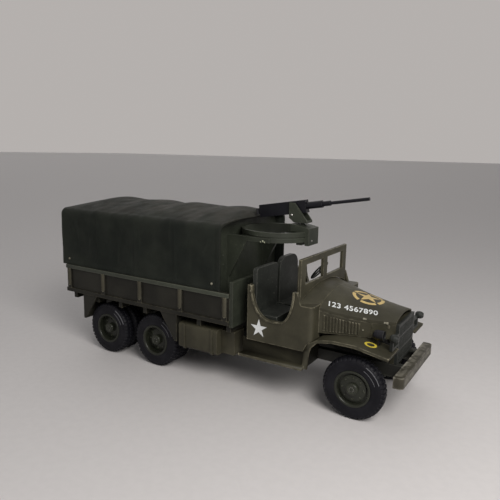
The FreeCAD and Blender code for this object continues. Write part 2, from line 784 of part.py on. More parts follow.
def bed_side():
    """The left side of the bed: a panel with a top rail and upright posts."""
    rear = BED_REAR_X
    front = BED_FRONT_X - HEADBOARD_THICKNESS
    outer = BED_HALF_WIDTH
    pieces = [
        box(rear, front, outer - SIDE_WALL, outer, DECK_Z, SIDE_TOP),
        box(rear, front, outer - SIDE_WALL, outer + POST_PROUD, SIDE_TOP - SIDE_RAIL_HEIGHT,
            SIDE_TOP),
    ]
    first = front - POST_END_GAP - POST_WIDTH / 2
    last = rear + POST_END_GAP + POST_WIDTH / 2
    for number in range(POST_COUNT):
        x = first + (last - first) * number / (POST_COUNT - 1)
        pieces.append(box(x - POST_WIDTH / 2, x + POST_WIDTH / 2, outer - SIDE_WALL,
                          outer + POST_PROUD, DECK_Z, SIDE_TOP))
    return joined(pieces)


def headboard():
    """The bed's front wall, higher than its sides."""
    rear = BED_FRONT_X - HEADBOARD_THICKNESS
    return [box(rear, BED_FRONT_X, -BED_HALF_WIDTH, BED_HALF_WIDTH, FLOOR_Z - FLOOR_LIP,
                DECK_Z + HEADBOARD_HEIGHT)]


def tailgate():
    """The tailgate between the bed's sides."""
    inner = BED_HALF_WIDTH - SIDE_WALL - SEAT_GAP
    return [box(BED_REAR_X, BED_REAR_X + TAILGATE_THICKNESS, -inner, inner, DECK_Z, SIDE_TOP)]


def splash_flaps():
    """Four splash flaps, ahead of the middle wheels and behind the rear wheels."""
    flaps = []
    outer = BED_HALF_WIDTH + FLOOR_LIP - FLAP_EDGE_INSET
    for x, ahead in ((MIDDLE_AXLE_X + TYRE_RADIUS + FLAP_CLEARANCE, 1),
                     (REAR_AXLE_X - TYRE_RADIUS - FLAP_CLEARANCE, -1)):
        far = x + ahead * FLAP_SHEET
        plate = box(x, far, FLAP_INNER, outer, FLOOR_Z - FLAP_DROP, FLOOR_Z)
        gusset = prism_xz([(x, FLOOR_Z), (x - ahead * FLAP_GUSSET, FLOOR_Z),
                           (x, FLOOR_Z - FLAP_DROP)], outer - FLAP_SHEET, outer)
        flaps.extend(both_sides(joined([plate, gusset])))
    return flaps


def under_bed_box():
    """The left tank or chest, hung from the rail by two brackets, with a locker ahead of it."""
    front = BED_FRONT_X - TANK_FRONT_GAP
    rear = front - TANK_LENGTH
    top = CROSS_SILL_Z - SEAT_GAP
    low = top - TANK_HEIGHT
    outer = BED_HALF_WIDTH
    inner = outer - TANK_WIDTH
    body = box(rear, front, inner, outer, low, top)
    body = round_edges(body, TANK_CORNER, lambda edge, middle: runs_along(edge, AXIS_X))
    locker = box(front, front + LOCKER_LENGTH, inner, outer - LOCKER_INSET,
                 low + LOCKER_RISE, top - LOCKER_RISE)
    pieces = [body, locker]
    for share in STRAP_SHARES:
        x = rear + (front - rear) * share
        strap = box(x - STRAP_WIDTH / 2, x + STRAP_WIDTH / 2, inner - STRAP_HEIGHT,
                    outer + STRAP_HEIGHT, low - STRAP_HEIGHT, top)
        strap = round_edges(strap, TANK_CORNER,
                            lambda edge, middle: runs_along(edge, AXIS_X) and middle.z < top)
        pieces.append(strap)
        pieces.append(box(x - STRAP_WIDTH / 2, x + STRAP_WIDTH / 2, RAIL_SPREAD, inner,
                          RAIL_TOP - HANGER_WIDTH, RAIL_TOP))
    return joined(pieces)


def through_three(start, middle, end, share):
    """Value at a share of a smooth curve from start by middle to end."""
    mid = CREASE_MID_SHARE
    return (start * (share - mid) * (share - 1) / mid
            + middle * share * (share - 1) / (mid * (mid - 1))
            + end * share * (share - mid) / (1 - mid))


def crease_at(share):
    """Half width, crease height and crown height of the bonnet at a share from its rear."""
    half = CREASE_REAR_HALF + (CREASE_FRONT_HALF - CREASE_REAR_HALF) * share
    crease = through_three(CREASE_REAR_Z, CREASE_MID_Z, CREASE_FRONT_Z, share)
    crown = through_three(CROWN_REAR_Z, CROWN_MID_Z, CROWN_FRONT_Z, share)
    return half, crease, crown


def bonnet_share(x):
    """Share of the bonnet's length from its rear at x."""
    return (x - BONNET_REAR_X) / (BONNET_NOSE_X - BONNET_REAR_X)


def bonnet_stations(start, end):
    """Places along the bonnet from start to end, with the side panels' seam among them."""
    rear = BONNET_REAR_X + SEAT_GAP
    places = [rear + (SEAM_X - rear) * step / BONNET_STEPS for step in range(BONNET_STEPS)]
    places += [SEAM_X, (SEAM_X + BONNET_NOSE_X) / 2, BONNET_NOSE_X]
    return [start] + [x for x in places if start < x < end] + [end]


def arch_wire(x, half, foot, crease, crown):
    """Closed outline across the truck: two short sides and an arched top."""
    left = Vector(x, half, crease)
    right = Vector(x, -half, crease)
    edges = [
        Part.makeLine(Vector(x, half, foot), left),
        Part.Arc(left, Vector(x, 0, crown), right).toShape(),
        Part.makeLine(right, Vector(x, -half, foot)),
        Part.makeLine(Vector(x, -half, foot), Vector(x, half, foot)),
    ]
    return Part.Wire(edges)


def bonnet_volume(inset, foot_drop, run_out):
    """The space under the bonnet's top, made smaller by inset."""
    sections = []
    stations = bonnet_stations(BONNET_REAR_X + SEAT_GAP, BONNET_NOSE_X)
    ends = {stations[0]: -run_out, stations[-1]: run_out}
    for x in stations:
        half, crease, crown = crease_at(bonnet_share(x))
        sections.append(arch_wire(x + ends.get(x, 0), half - inset, crease - foot_drop,
                                  crease - inset / 2, crown - inset))
    return Part.makeLoft(sections, True, True)


def bonnet():
    """The bonnet's crowned lid, narrow at the nose, with a short flange along each side."""
    outer = bonnet_volume(0, BONNET_FLANGE, 0)
    inner = bonnet_volume(BONNET_SKIN, BONNET_FLANGE + OVERRUN, OVERRUN)
    return [outer.cut(inner)]


def side_rectangle(x, outer, thickness, foot, top):
    """Upright rectangle across the truck, one section of a slanting side panel."""
    return Part.makePolygon([Vector(x, outer - thickness, foot), Vector(x, outer, foot),
                             Vector(x, outer, top), Vector(x, outer - thickness, top),
                             Vector(x, outer - thickness, foot)])


def panel_between(x0, x1):
    """A slanting panel under the bonnet's left edge, from x0 to x1."""
    sections = []
    for x in bonnet_stations(x0, x1):
        half, crease, crown = crease_at(bonnet_share(x))
        sections.append(side_rectangle(x, half, BONNET_SKIN, SIDE_PANEL_FOOT,
                                       crease - BONNET_FLANGE - PANEL_TOP_GAP))
    return Part.makeLoft(sections, True, True)


def bonnet_side():
    """The left side of the engine bay with its row of upright louvres."""
    panel = panel_between(BONNET_REAR_X + SEAT_GAP, SEAM_X - SEAT_GAP)
    foot = SIDE_PANEL_FOOT + LOUVRE_FOOT_GAP
    pieces = [panel]
    for number in range(LOUVRE_COUNT):
        x = BONNET_REAR_X + LOUVRE_START + number * LOUVRE_PITCH
        half, crease, crown = crease_at(bonnet_share(x + LOUVRE_WIDTH))
        top = crease - BONNET_FLANGE - PANEL_TOP_GAP - LOUVRE_FOOT_GAP
        pieces.append(box(x, x + LOUVRE_WIDTH, half - BONNET_SKIN, half + LOUVRE_PROUD, foot,
                          top))
    return joined(pieces)


def radiator_shell():
    """The radiator's shell behind the guard, with the fixed panels beside it."""
    back = BONNET_NOSE_X - RADIATOR_DEPTH
    half = CREASE_FRONT_HALF
    top = CREASE_FRONT_Z - BONNET_FLANGE - SEAT_GAP
    plate = box(back, BONNET_NOSE_X, -half, half, RAIL_TOP, top)
    window = box(BONNET_NOSE_X - RADIATOR_DEPTH / 2, BONNET_NOSE_X + OVERRUN,
                 -half + RADIATOR_FRAME, half - RADIATOR_FRAME, RAIL_TOP + RADIATOR_FRAME,
                 top - RADIATOR_FRAME)
    panel = panel_between(SEAM_X, BONNET_NOSE_X)
    return [joined([plate.cut(window)] + both_sides(panel))]


def grille_guard():
    """The bar guard that stands on the frame ahead of the radiator, with its two wings."""
    front = GUARD_X + GUARD_THICKNESS
    outer = box(GUARD_X, front, -GUARD_HALF_WIDTH, GUARD_HALF_WIDTH, RAIL_TOP, GUARD_TOP)
    window = box(GUARD_X - OVERRUN, front + OVERRUN, -GUARD_HALF_WIDTH + GUARD_FRAME,
                 GUARD_HALF_WIDTH - GUARD_FRAME, RAIL_TOP + GUARD_FRAME,
                 GUARD_TOP - GUARD_FRAME)
    pieces = [outer.cut(window)]
    for number in range(GUARD_BAR_COUNT):
        y = (number - (GUARD_BAR_COUNT - 1) / 2) * GUARD_BAR_PITCH
        pieces.append(box(GUARD_X, front, y - GUARD_BAR_WIDTH / 2, y + GUARD_BAR_WIDTH / 2,
                          RAIL_TOP, GUARD_TOP))
    for share in GUARD_RAIL_SHARES:
        z = RAIL_TOP + (GUARD_TOP - RAIL_TOP) * share
        pieces.append(box(GUARD_X, front, -GUARD_HALF_WIDTH, GUARD_HALF_WIDTH,
                          z - GUARD_BAR_WIDTH / 2, z + GUARD_BAR_WIDTH / 2))
    wing_foot = fender_top_at(BONNET_NOSE) + WING_FOOT_GAP
    for z in (wing_foot, WING_TOP - WING_BAR):
        arm = box(GUARD_X, front, GUARD_HALF_WIDTH - GUARD_FRAME, WING_REACH, z, z + WING_BAR)
        pieces.extend(both_sides(arm))
    upright = box(GUARD_X, front, WING_REACH - WING_BAR, WING_REACH, wing_foot, WING_TOP)
    outline = [(WING_KNOB * radius, WING_KNOB * along) for along, radius in WING_KNOB_SHARES]
    closed = [(0, outline[0][1])] + outline + [(0, outline[-1][1])]
    knob = turned_about(closed, Vector(GUARD_X, WING_REACH, WING_TOP), AXIS_X)
    pieces.extend(both_sides(upright))
    pieces.extend(both_sides(knob))
    return [joined(pieces)]


def headlamps():
    """Two round headlamps, each on a short foot on its fender."""
    front = FRONT_AXLE_X + LAMP_FRONT
    y = LAMP_SPREAD
    outline = [(LAMP_RADIUS * radius, LAMP_LENGTH * along)
               for radius, along in LAMP_BACK_SHARES]
    outline += [(LAMP_RADIUS, LAMP_LENGTH), (LAMP_RADIUS - LAMP_RIM, LAMP_LENGTH),
                (LAMP_RADIUS - LAMP_RIM, LAMP_LENGTH - LAMP_RIM), (0, LAMP_LENGTH - LAMP_RIM)]
    drum = turned_about([(0, 0)] + outline, Vector(front - LAMP_LENGTH, y, LAMP_HEIGHT),
                        AXIS_X)
    middle_x = front - LAMP_LENGTH / 2
    foot_z = fender_top_at(middle_x - LAMP_FOOT - FRONT_AXLE_X) + SEAT_GAP
    foot = rod(Vector(middle_x, y, foot_z),
               Vector(middle_x, y, LAMP_HEIGHT), LAMP_FOOT)
    return both_sides(joined([drum, foot]))


def fender_top_at(ahead):
    """Height of the fender's top at a distance ahead of the axle, over its front run."""
    share = max(0, ahead) / FENDER_NOSE
    return FENDER_TOP - FENDER_NOSE_DROP * share


def offset_points(points, distance):
    """Shift an open run of X and Z points to one side by a distance, mitred at corners."""
    shifted = []
    for number, (x, z) in enumerate(points):
        before = points[max(number - 1, 0)]
        after = points[min(number + 1, len(points) - 1)]
        run_x = after[0] - before[0]
        run_z = after[1] - before[1]
        length = math.hypot(run_x, run_z)
        shifted.append((x + run_z / length * distance, z - run_x / length * distance))
    return shifted


def fender_line():
    """Top line of the fender in X and Z, from its nose down to the running board."""
    line = [
        (FENDER_NOSE, FENDER_TOP - FENDER_NOSE_DROP),
        (FENDER_NOSE / 2, FENDER_TOP - FENDER_NOSE_DROP / 2),
        (0, FENDER_TOP),
    ]
    for back, drop in FENDER_BACK_SHARES:
        line.append((-COWL_SETBACK * back, FENDER_TOP - (FENDER_TOP - CAB_Z) * drop))
    line.append((FENDER_SHEET + SEAT_GAP - COWL_SETBACK, BOARD_Z))
    return [(FRONT_AXLE_X + x, z) for x, z in line]


def fender():
    """The left front fender with its running board, pressed from one sheet."""
    line = fender_line()
    inner_line = offset_points(line, -FENDER_SHEET)
    lip_line = offset_points(line, -FENDER_SHEET - FENDER_LIP_DEPTH)

    def sheet(under, y0, y1):
        return prism_xz(line + under[::-1], y0, y1)

    top = sheet(inner_line, FENDER_INNER, FENDER_OUTER)
    lip = sheet(lip_line, FENDER_OUTER - FENDER_LIP, FENDER_OUTER)
    front = COWL_X + SEAT_GAP + 2 * FENDER_SHEET
    rear = CAB_REAR_X - BOARD_TAIL
    apron_y = CAB_HALF_WIDTH - APRON_INSET
    board = box(rear, front, apron_y - BOARD_THICKNESS, BOARD_OUTER, BOARD_Z,
                BOARD_Z + BOARD_THICKNESS)
    apron = box(rear, front, apron_y - BOARD_THICKNESS, apron_y, BOARD_Z, CAB_Z - SEAT_GAP)
    tie = box(rear, rear + BOARD_THICKNESS, RAIL_SPREAD, apron_y, BOARD_Z,
              BOARD_Z + BOARD_THICKNESS)
    front_tie = box(front - BOARD_THICKNESS, front, RAIL_SPREAD, FENDER_OUTER, BOARD_Z,
                    BOARD_Z + BOARD_THICKNESS)
    return joined([top, lip, board, apron, tie, front_tie])


def cab_side_outline():
    """Outline of the cab's side in X and Z, with the dip of its open doorway."""
    rear = CAB_REAR_X
    front = COWL_X
    sill = CAB_Z + DOOR_SILL
    cowl_top = CAB_Z + CAB_SIDE_HEIGHT
    rear_lip = rear + DOOR_REAR_INSET
    front_lip = front - DOOR_FRONT_INSET
    points = [(rear, CAB_Z), (front, CAB_Z), (front, CAB_Z + COWL_SIDE_HEIGHT),
              (front - DOOR_FRONT_INSET / 2, cowl_top), (front_lip, cowl_top)]
    for step in range(1, DOOR_CURVE_STEPS):
        angle = math.pi / 2 * step / DOOR_CURVE_STEPS
        points.append((front_lip - DOOR_FRONT_RUN * (1 - math.cos(angle)),
                       cowl_top - (cowl_top - sill) * math.sin(angle)))
    points.append((front_lip - DOOR_FRONT_RUN, sill))
    points.append((rear_lip + DOOR_REAR_RUN, sill))
    for step in range(1, DOOR_CURVE_STEPS):
        angle = math.pi / 2 * step / DOOR_CURVE_STEPS
        points.append((rear_lip + DOOR_REAR_RUN * (1 - math.sin(angle)),
                       sill + (CAB_TOP - sill) * (1 - math.cos(angle))))
    points.append((rear_lip, CAB_TOP))
    points.append((rear, CAB_TOP))
    return points


def door_bead():
    """The raised bead that edges the left doorway's dip."""
    outline = cab_side_outline()
    dip = outline[4:-1]
    inside = offset_points(dip, -DOOR_RIM)
    y0 = CAB_HALF_WIDTH - DOOR_RIM_PROUD
    return prism_xz(dip + inside[::-1], y0, CAB_HALF_WIDTH + DOOR_RIM_PROUD)


def cab_tub():
    """The open cab: floor, rear wall, two sides with dipped doorways, and the cowl."""
    inner = CAB_HALF_WIDTH - CAB_WALL
    side = prism_xz(cab_side_outline(), inner, CAB_HALF_WIDTH)
    floor = box(CAB_REAR_X, COWL_X, -inner, inner, CAB_Z, CAB_Z + CAB_FLOOR)
    rear_wall = box(CAB_REAR_X, CAB_REAR_X + CAB_WALL, -inner, inner, CAB_Z, CAB_TOP)
    half = CREASE_REAR_HALF
    cowl_foot = CAB_Z + COWL_SIDE_HEIGHT
    scuttle_back = COWL_X - SCREEN_SETBACK - SCREEN_THICKNESS / 2
    front_plate = box(COWL_X, BONNET_REAR_X, -CAB_HALF_WIDTH, CAB_HALF_WIDTH, CAB_Z,
                      cowl_foot)

    def front_corner(edge, middle):
        return runs_along(edge, AXIS_Z) and middle.x > COWL_X + COWL_LENGTH / 2

    front_plate = round_edges(front_plate, COWL_CORNER, front_corner)
    seat_line = offset_points(fender_line(), 2 * SEAT_GAP)
    nose_x = seat_line[0][0]
    under_fender = prism_xz(seat_line + [(nose_x, BOARD_Z)], -CAB_HALF_WIDTH - OVERRUN,
                            CAB_HALF_WIDTH + OVERRUN)
    front_plate = front_plate.cut(under_fender)
    hollow = box(COWL_X - OVERRUN, BONNET_REAR_X - CAB_WALL, -inner, inner,
                 CAB_Z - OVERRUN, cowl_foot - CAB_WALL)
    front_plate = front_plate.cut(hollow)
    opening = box(COWL_X - OVERRUN, BONNET_REAR_X + OVERRUN, -half + CAB_WALL,
                  half - CAB_WALL, CAB_Z - OVERRUN, cowl_foot - CAB_WALL)
    front_plate = front_plate.cut(opening)
    top = Part.makeLoft([arch_wire(BONNET_REAR_X, half, cowl_foot - CAB_WALL, CREASE_REAR_Z,
                                   CROWN_REAR_Z),
                         arch_wire(scuttle_back, inner + CAB_WALL / 2, cowl_foot - CAB_WALL,
                                   cowl_foot, CROWN_COWL_Z)], True, True)
    top_hollow = Part.makeLoft([
        arch_wire(BONNET_REAR_X - CAB_WALL, half - CAB_WALL, cowl_foot - 2 * CAB_WALL,
                  CREASE_REAR_Z - CAB_WALL, CROWN_REAR_Z - CAB_WALL),
        arch_wire(scuttle_back - OVERRUN, inner - CAB_WALL / 2, cowl_foot - 2 * CAB_WALL,
                  cowl_foot - CAB_WALL, CROWN_COWL_Z - CAB_WALL)], True, True)
    firewall = box(COWL_X - CAB_WALL, COWL_X, -inner, inner, CAB_Z, cowl_foot)
    bead = door_bead()
    return [joined([side, mirrored(side), floor, rear_wall, front_plate,
                    top.cut(top_hollow), firewall, bead, mirrored(bead)])]


def windscreen_frame():
    """The windscreen frame with two open panes, cut to the scuttle's arch on which it stands."""
    front = COWL_X - SCREEN_SETBACK + SCREEN_THICKNESS / 2
    back = front - SCREEN_THICKNESS
    pane_foot = SCREEN_Z + SCREEN_SILL
    pane_top = pane_foot + SCREEN_PANE
    top = pane_top + SCREEN_HEADER
    scuttle_edge = CAB_Z + COWL_SIDE_HEIGHT + SEAT_GAP
    frame = box(back, front, -SCREEN_HALF_WIDTH, SCREEN_HALF_WIDTH, scuttle_edge, top)
    scuttle = arch_wire(back - OVERRUN, CAB_HALF_WIDTH - CAB_WALL / 2, scuttle_edge - OVERRUN,
                        scuttle_edge, SCREEN_Z)
    frame = frame.cut(Part.Face(scuttle).extrude(Vector(SCREEN_THICKNESS + 2 * OVERRUN, 0, 0)))
    pane = box(back - OVERRUN, front + OVERRUN, SCREEN_MULLION / 2,
               SCREEN_HALF_WIDTH - SCREEN_POST, pane_foot, pane_top)
    for side_pane in both_sides(pane):
        frame = frame.cut(side_pane)
    return [frame]


def steering():
    """The steering wheel, its three spokes and its raked column."""
    centre = Vector(COWL_X - STEERING_SETBACK, STEERING_OFFSET, STEERING_RISE)
    rake = math.radians(STEERING_RAKE)
    along = Vector(math.cos(rake), 0, -math.sin(rake))
    section = []
    for number in range(WHEEL_RING_SIDES):
        angle = math.tau * number / WHEEL_RING_SIDES
        section.append((WHEEL_RING_RADIUS + WHEEL_RING_WIRE * math.cos(angle),
                        WHEEL_RING_WIRE * math.sin(angle)))
    ring = turned_about(section, centre, along)
    across = Vector(math.sin(rake), 0, math.cos(rake))
    pieces = [ring]
    for spoke in range(STEERING_SPOKES):
        angle = math.tau * (spoke / STEERING_SPOKES + SPOKE_START_SHARE)
        arm = across * math.cos(angle) + Vector(0, math.sin(angle), 0)
        pieces.append(rod(centre, centre + arm * WHEEL_RING_RADIUS, WHEEL_RING_WIRE))
    reach = (COWL_X - CAB_WALL - SEAT_GAP - centre.x) / math.cos(rake)
    pieces.append(rod(centre, centre + along * (reach - COLUMN_RADIUS), COLUMN_RADIUS))
    return [joined(pieces)]


def seat(shares, top, round_radius):
    """One seat: a box, a cushion and an upright back with rounded top corners."""
    room = CAB_HALF_WIDTH - CAB_WALL
    inner, outer = (room * share for share in shares)
    back = CAB_REAR_X + CAB_WALL + SEAT_WALL_GAP
    front = back + SEAT_DEPTH
    floor = CAB_Z + CAB_FLOOR
    pad_z = floor + SEAT_BOX_HEIGHT
    box_part = box(back + BACK_THICKNESS / 2, front - BACK_THICKNESS / 2,
                   inner + BACK_THICKNESS / 2, outer - BACK_THICKNESS / 2, floor, pad_z)
    pad = box(back, front, inner, outer, pad_z, pad_z + SEAT_PAD)
    upright = box(back, back + BACK_THICKNESS, inner, outer, pad_z, top)

    def top_corner(edge, middle):
        return runs_along(edge, AXIS_X) and middle.z > top - SEAT_PAD

    upright = round_edges(upright, round_radius, top_corner)
    return joined([box_part, pad, upright])


def ring_centre():
    """X of the gun ring's centre."""
    return COVER_FRONT_X - BULKHEAD_RECESS + SEAT_GAP + RING_RADIUS


def mount_bulkhead():
    """The plate inside the cover's front opening that carries the ring's arms."""
    front = COVER_FRONT_X - BULKHEAD_RECESS
    inset = COVER_SKIN + BULKHEAD_GAP
    crown = cover_crown_at(front) - inset - BULKHEAD_TOP_GAP
    wire = canvas_section(front, COVER_HALF_WIDTH - inset, DECK_Z, SHOULDER_Z - inset, crown,
                          COVER_SHOULDER)
    return [Part.Face(wire).extrude(Vector(-BULKHEAD_THICKNESS, 0, 0))]


def gun_ring():
    """The ring over the cab with its two arms, their gussets and the stems down to the bed."""
    x = ring_centre()
    foot = RING_TOP - RING_HEIGHT
    centre = Vector(x, 0, foot)
    band = Part.makeCylinder(RING_RADIUS, RING_HEIGHT, centre)
    groove_z = foot + (RING_HEIGHT - RING_GROOVE_HEIGHT) / 2
    groove = Part.makeCylinder(RING_RADIUS + OVERRUN, RING_GROOVE_HEIGHT,
                               Vector(x, 0, groove_z))
    groove = groove.cut(Part.makeCylinder(RING_RADIUS - RING_GROOVE, RING_GROOVE_HEIGHT,
                                          Vector(x, 0, groove_z)))
    band = band.cut(groove)
    plate_x = COVER_FRONT_X - BULKHEAD_RECESS
    arm_top = RING_TOP - RING_HEIGHT + ARM_HEIGHT
    outer = RING_RADIUS + RING_GROOVE
    arm = box(plate_x, x + ARM_NOSE, outer - ARM_WIDTH, outer, foot, arm_top)
    stem_x = plate_x + GUSSET_STEM
    gusset = prism_xz([(plate_x, arm_top), (plate_x + GUSSET_LENGTH, arm_top),
                       (plate_x + GUSSET_LENGTH, foot), (stem_x, arm_top - GUSSET_HEIGHT),
                       (stem_x, DECK_Z), (plate_x, DECK_Z)], outer - ARM_WIDTH, outer)
    ring = joined([band] + both_sides(arm) + both_sides(gusset))
    bore = Part.makeCylinder(RING_RADIUS - RING_BAND, RING_HEIGHT + 2 * OVERRUN,
                             Vector(x, 0, foot - OVERRUN))
    return [ring.cut(bore)]


def carriage_front():
    """X of the front face of the carriage on the ring."""
    return ring_centre() + RING_RADIUS + SEAT_GAP + CARRIAGE_WALL


def pivot_x():
    """X of the upright pivot on which the gun's cradle swivels."""
    return carriage_front() - PIVOT_SETBACK


def carriage_top_at(x):
    """Height of the carriage's sloping top at x."""
    share = (carriage_front() - x) / CARRIAGE_DEPTH
    return RING_TOP + CARRIAGE_TOP + CARRIAGE_RISE * share


def ring_carriage():
    """The carriage that grips the ring's front and carries the cradle's pivot."""
    front = carriage_front()
    rear = front - CARRIAGE_DEPTH
    foot = RING_TOP - CARRIAGE_DROP
    half = CARRIAGE_HALF_WIDTH
    body = prism_xz([(front, foot), (front, RING_TOP + CARRIAGE_TOP),
                     (rear, RING_TOP + CARRIAGE_TOP + CARRIAGE_RISE), (rear, foot)],
                    -half, half)
    slot = Part.makeCylinder(RING_RADIUS + SEAT_GAP, RING_HEIGHT + 2 * OVERRUN,
                             Vector(ring_centre(), 0, RING_TOP - RING_HEIGHT - 2 * OVERRUN))
    reach = math.sqrt((RING_RADIUS - RING_BAND) ** 2 - half ** 2)
    tongue = box(rear, ring_centre() + reach - SEAT_GAP, -half, half, foot,
                 RING_TOP + CARRIAGE_TOP / 2)
    slot = slot.cut(box(rear - OVERRUN, ring_centre() + reach - SEAT_GAP, -half, half,
                        foot - OVERRUN, RING_TOP + OVERRUN))
    body = body.cut(slot)
    lower = box(rear - OVERRUN, rear + CARRIAGE_DEPTH * CARRIAGE_LEG_SHARE,
                -half - OVERRUN, half + OVERRUN, foot - OVERRUN, RING_TOP)
    body = joined([body, tongue]).cut(lower)
    boss = Part.makeCylinder(2 * PIVOT_RADIUS, CRADLE_LIFT + carriage_top_at(pivot_x())
                             - RING_TOP, Vector(pivot_x(), 0, RING_TOP))
    socket = Part.makeCylinder(PIVOT_RADIUS + RUNNING_GAP, CARRIAGE_TOP + 2 * OVERRUN,
                               Vector(pivot_x(), 0, RING_TOP + CARRIAGE_TOP / 2))
    return [joined([body, boss]).cut(socket)]


def cradle_z():
    """Height of the underside of the gun's cradle."""
    return carriage_top_at(pivot_x()) + 2 * CRADLE_LIFT + CRADLE_HALF_LENGTH * (
        CARRIAGE_RISE / CARRIAGE_DEPTH)


def trunnion_point():
    """The point about which the gun tips, on its middle plane."""
    return Vector(pivot_x() - TRUNNION_SETBACK, 0, cradle_z() + TRUNNION_RISE)


def gun_cradle():
    """The swivelling cradle: a base on its pivot pin and two slanting side arms."""
    base_z = cradle_z()
    x = pivot_x()
    half = CRADLE_HALF_LENGTH
    inner = GUN_HALF_WIDTH + CRADLE_CLEARANCE
    outer = inner + CRADLE_ARM
    pin_point = trunnion_point()
    base = box(x - half, x + half, -outer, outer, base_z, base_z + CRADLE_BASE)
    arm = prism_xz([
        (x - half, base_z),
        (x + half, base_z),
        (x + half, base_z + CRADLE_BASE),
        (pin_point.x + CRADLE_STRAP / 2, pin_point.z + CRADLE_TOP),
        (pin_point.x - CRADLE_STRAP / 2, pin_point.z + CRADLE_TOP),
        (pin_point.x - CRADLE_STRAP / 2, pin_point.z - CRADLE_STRAP / 2),
    ], inner, outer)
    socket_foot = RING_TOP + CARRIAGE_TOP / 2 + SEAT_GAP
    pin = Part.makeCylinder(PIVOT_RADIUS, base_z - socket_foot + CRADLE_BASE / 2,
                            Vector(x, 0, socket_foot))
    shape = joined([base, pin] + both_sides(arm))
    bore = rod(Vector(pin_point.x, -outer - OVERRUN, pin_point.z),
               Vector(pin_point.x, outer + OVERRUN, pin_point.z),
               GUN_PIN_RADIUS + RUNNING_GAP)
    return [shape.cut(bore)]


def aimed(shape):
    """Tip a shape drawn level about the trunnion to the gun's rest pitch."""
    shape.rotate(trunnion_point(), AXIS_Y, -GUN_PITCH)
    return shape


def gun_receiver():
    """The gun's receiver with its lug, trunnion pin and rear grips."""
    pin = trunnion_point()
    half = GUN_HALF_WIDTH
    body = box(pin.x - GUN_REAR, pin.x + GUN_FRONT, -half, half, pin.z + GUN_BELOW,
               pin.z + GUN_BELOW + GUN_HEIGHT)
    lug = rod(Vector(pin.x, -half, pin.z), Vector(pin.x, half, pin.z), GUN_LUG)
    reach = half + CRADLE_CLEARANCE + CRADLE_ARM
    cross_pin = rod(Vector(pin.x, -reach, pin.z), Vector(pin.x, reach, pin.z), GUN_PIN_RADIUS)
    pieces = [body, lug, cross_pin]
    grip_x = pin.x - GUN_REAR - GRIP_SETBACK
    low = pin.z + GUN_BELOW + GUN_HEIGHT * GRIP_FOOT_SHARE
    high = low + GUN_HEIGHT * GRIP_HEIGHT_SHARE
    for side in (-1, 1):
        y = side * GRIP_SPAN / 2
        pieces.append(rod(Vector(grip_x, y, low), Vector(grip_x, y, high), GRIP_RADIUS))
        for z in (low + GRIP_RADIUS, high - GRIP_RADIUS):
            pieces.append(rod(Vector(grip_x, y, z), Vector(pin.x - GUN_REAR + GRIP_RADIUS, y, z),
                              GRIP_RADIUS / 2))
    return [aimed(joined(pieces))]


def gun_barrel():
    """The barrel with its cooling jacket and front bearing."""
    pin = trunnion_point()
    z = pin.z + BORE_HEIGHT
    start = pin.x + GUN_FRONT
    jacket = rod(Vector(start, 0, z), Vector(start + JACKET_LENGTH, 0, z), JACKET_RADIUS)
    sleeve = rod(Vector(start + JACKET_LENGTH, 0, z),
                 Vector(start + JACKET_LENGTH + SLEEVE_LENGTH, 0, z), SLEEVE_RADIUS)
    barrel = rod(Vector(start + JACKET_LENGTH, 0, z), Vector(pin.x + MUZZLE_REACH, 0, z),
                 BARREL_RADIUS)
    return [aimed(joined([jacket, sleeve, barrel]))]


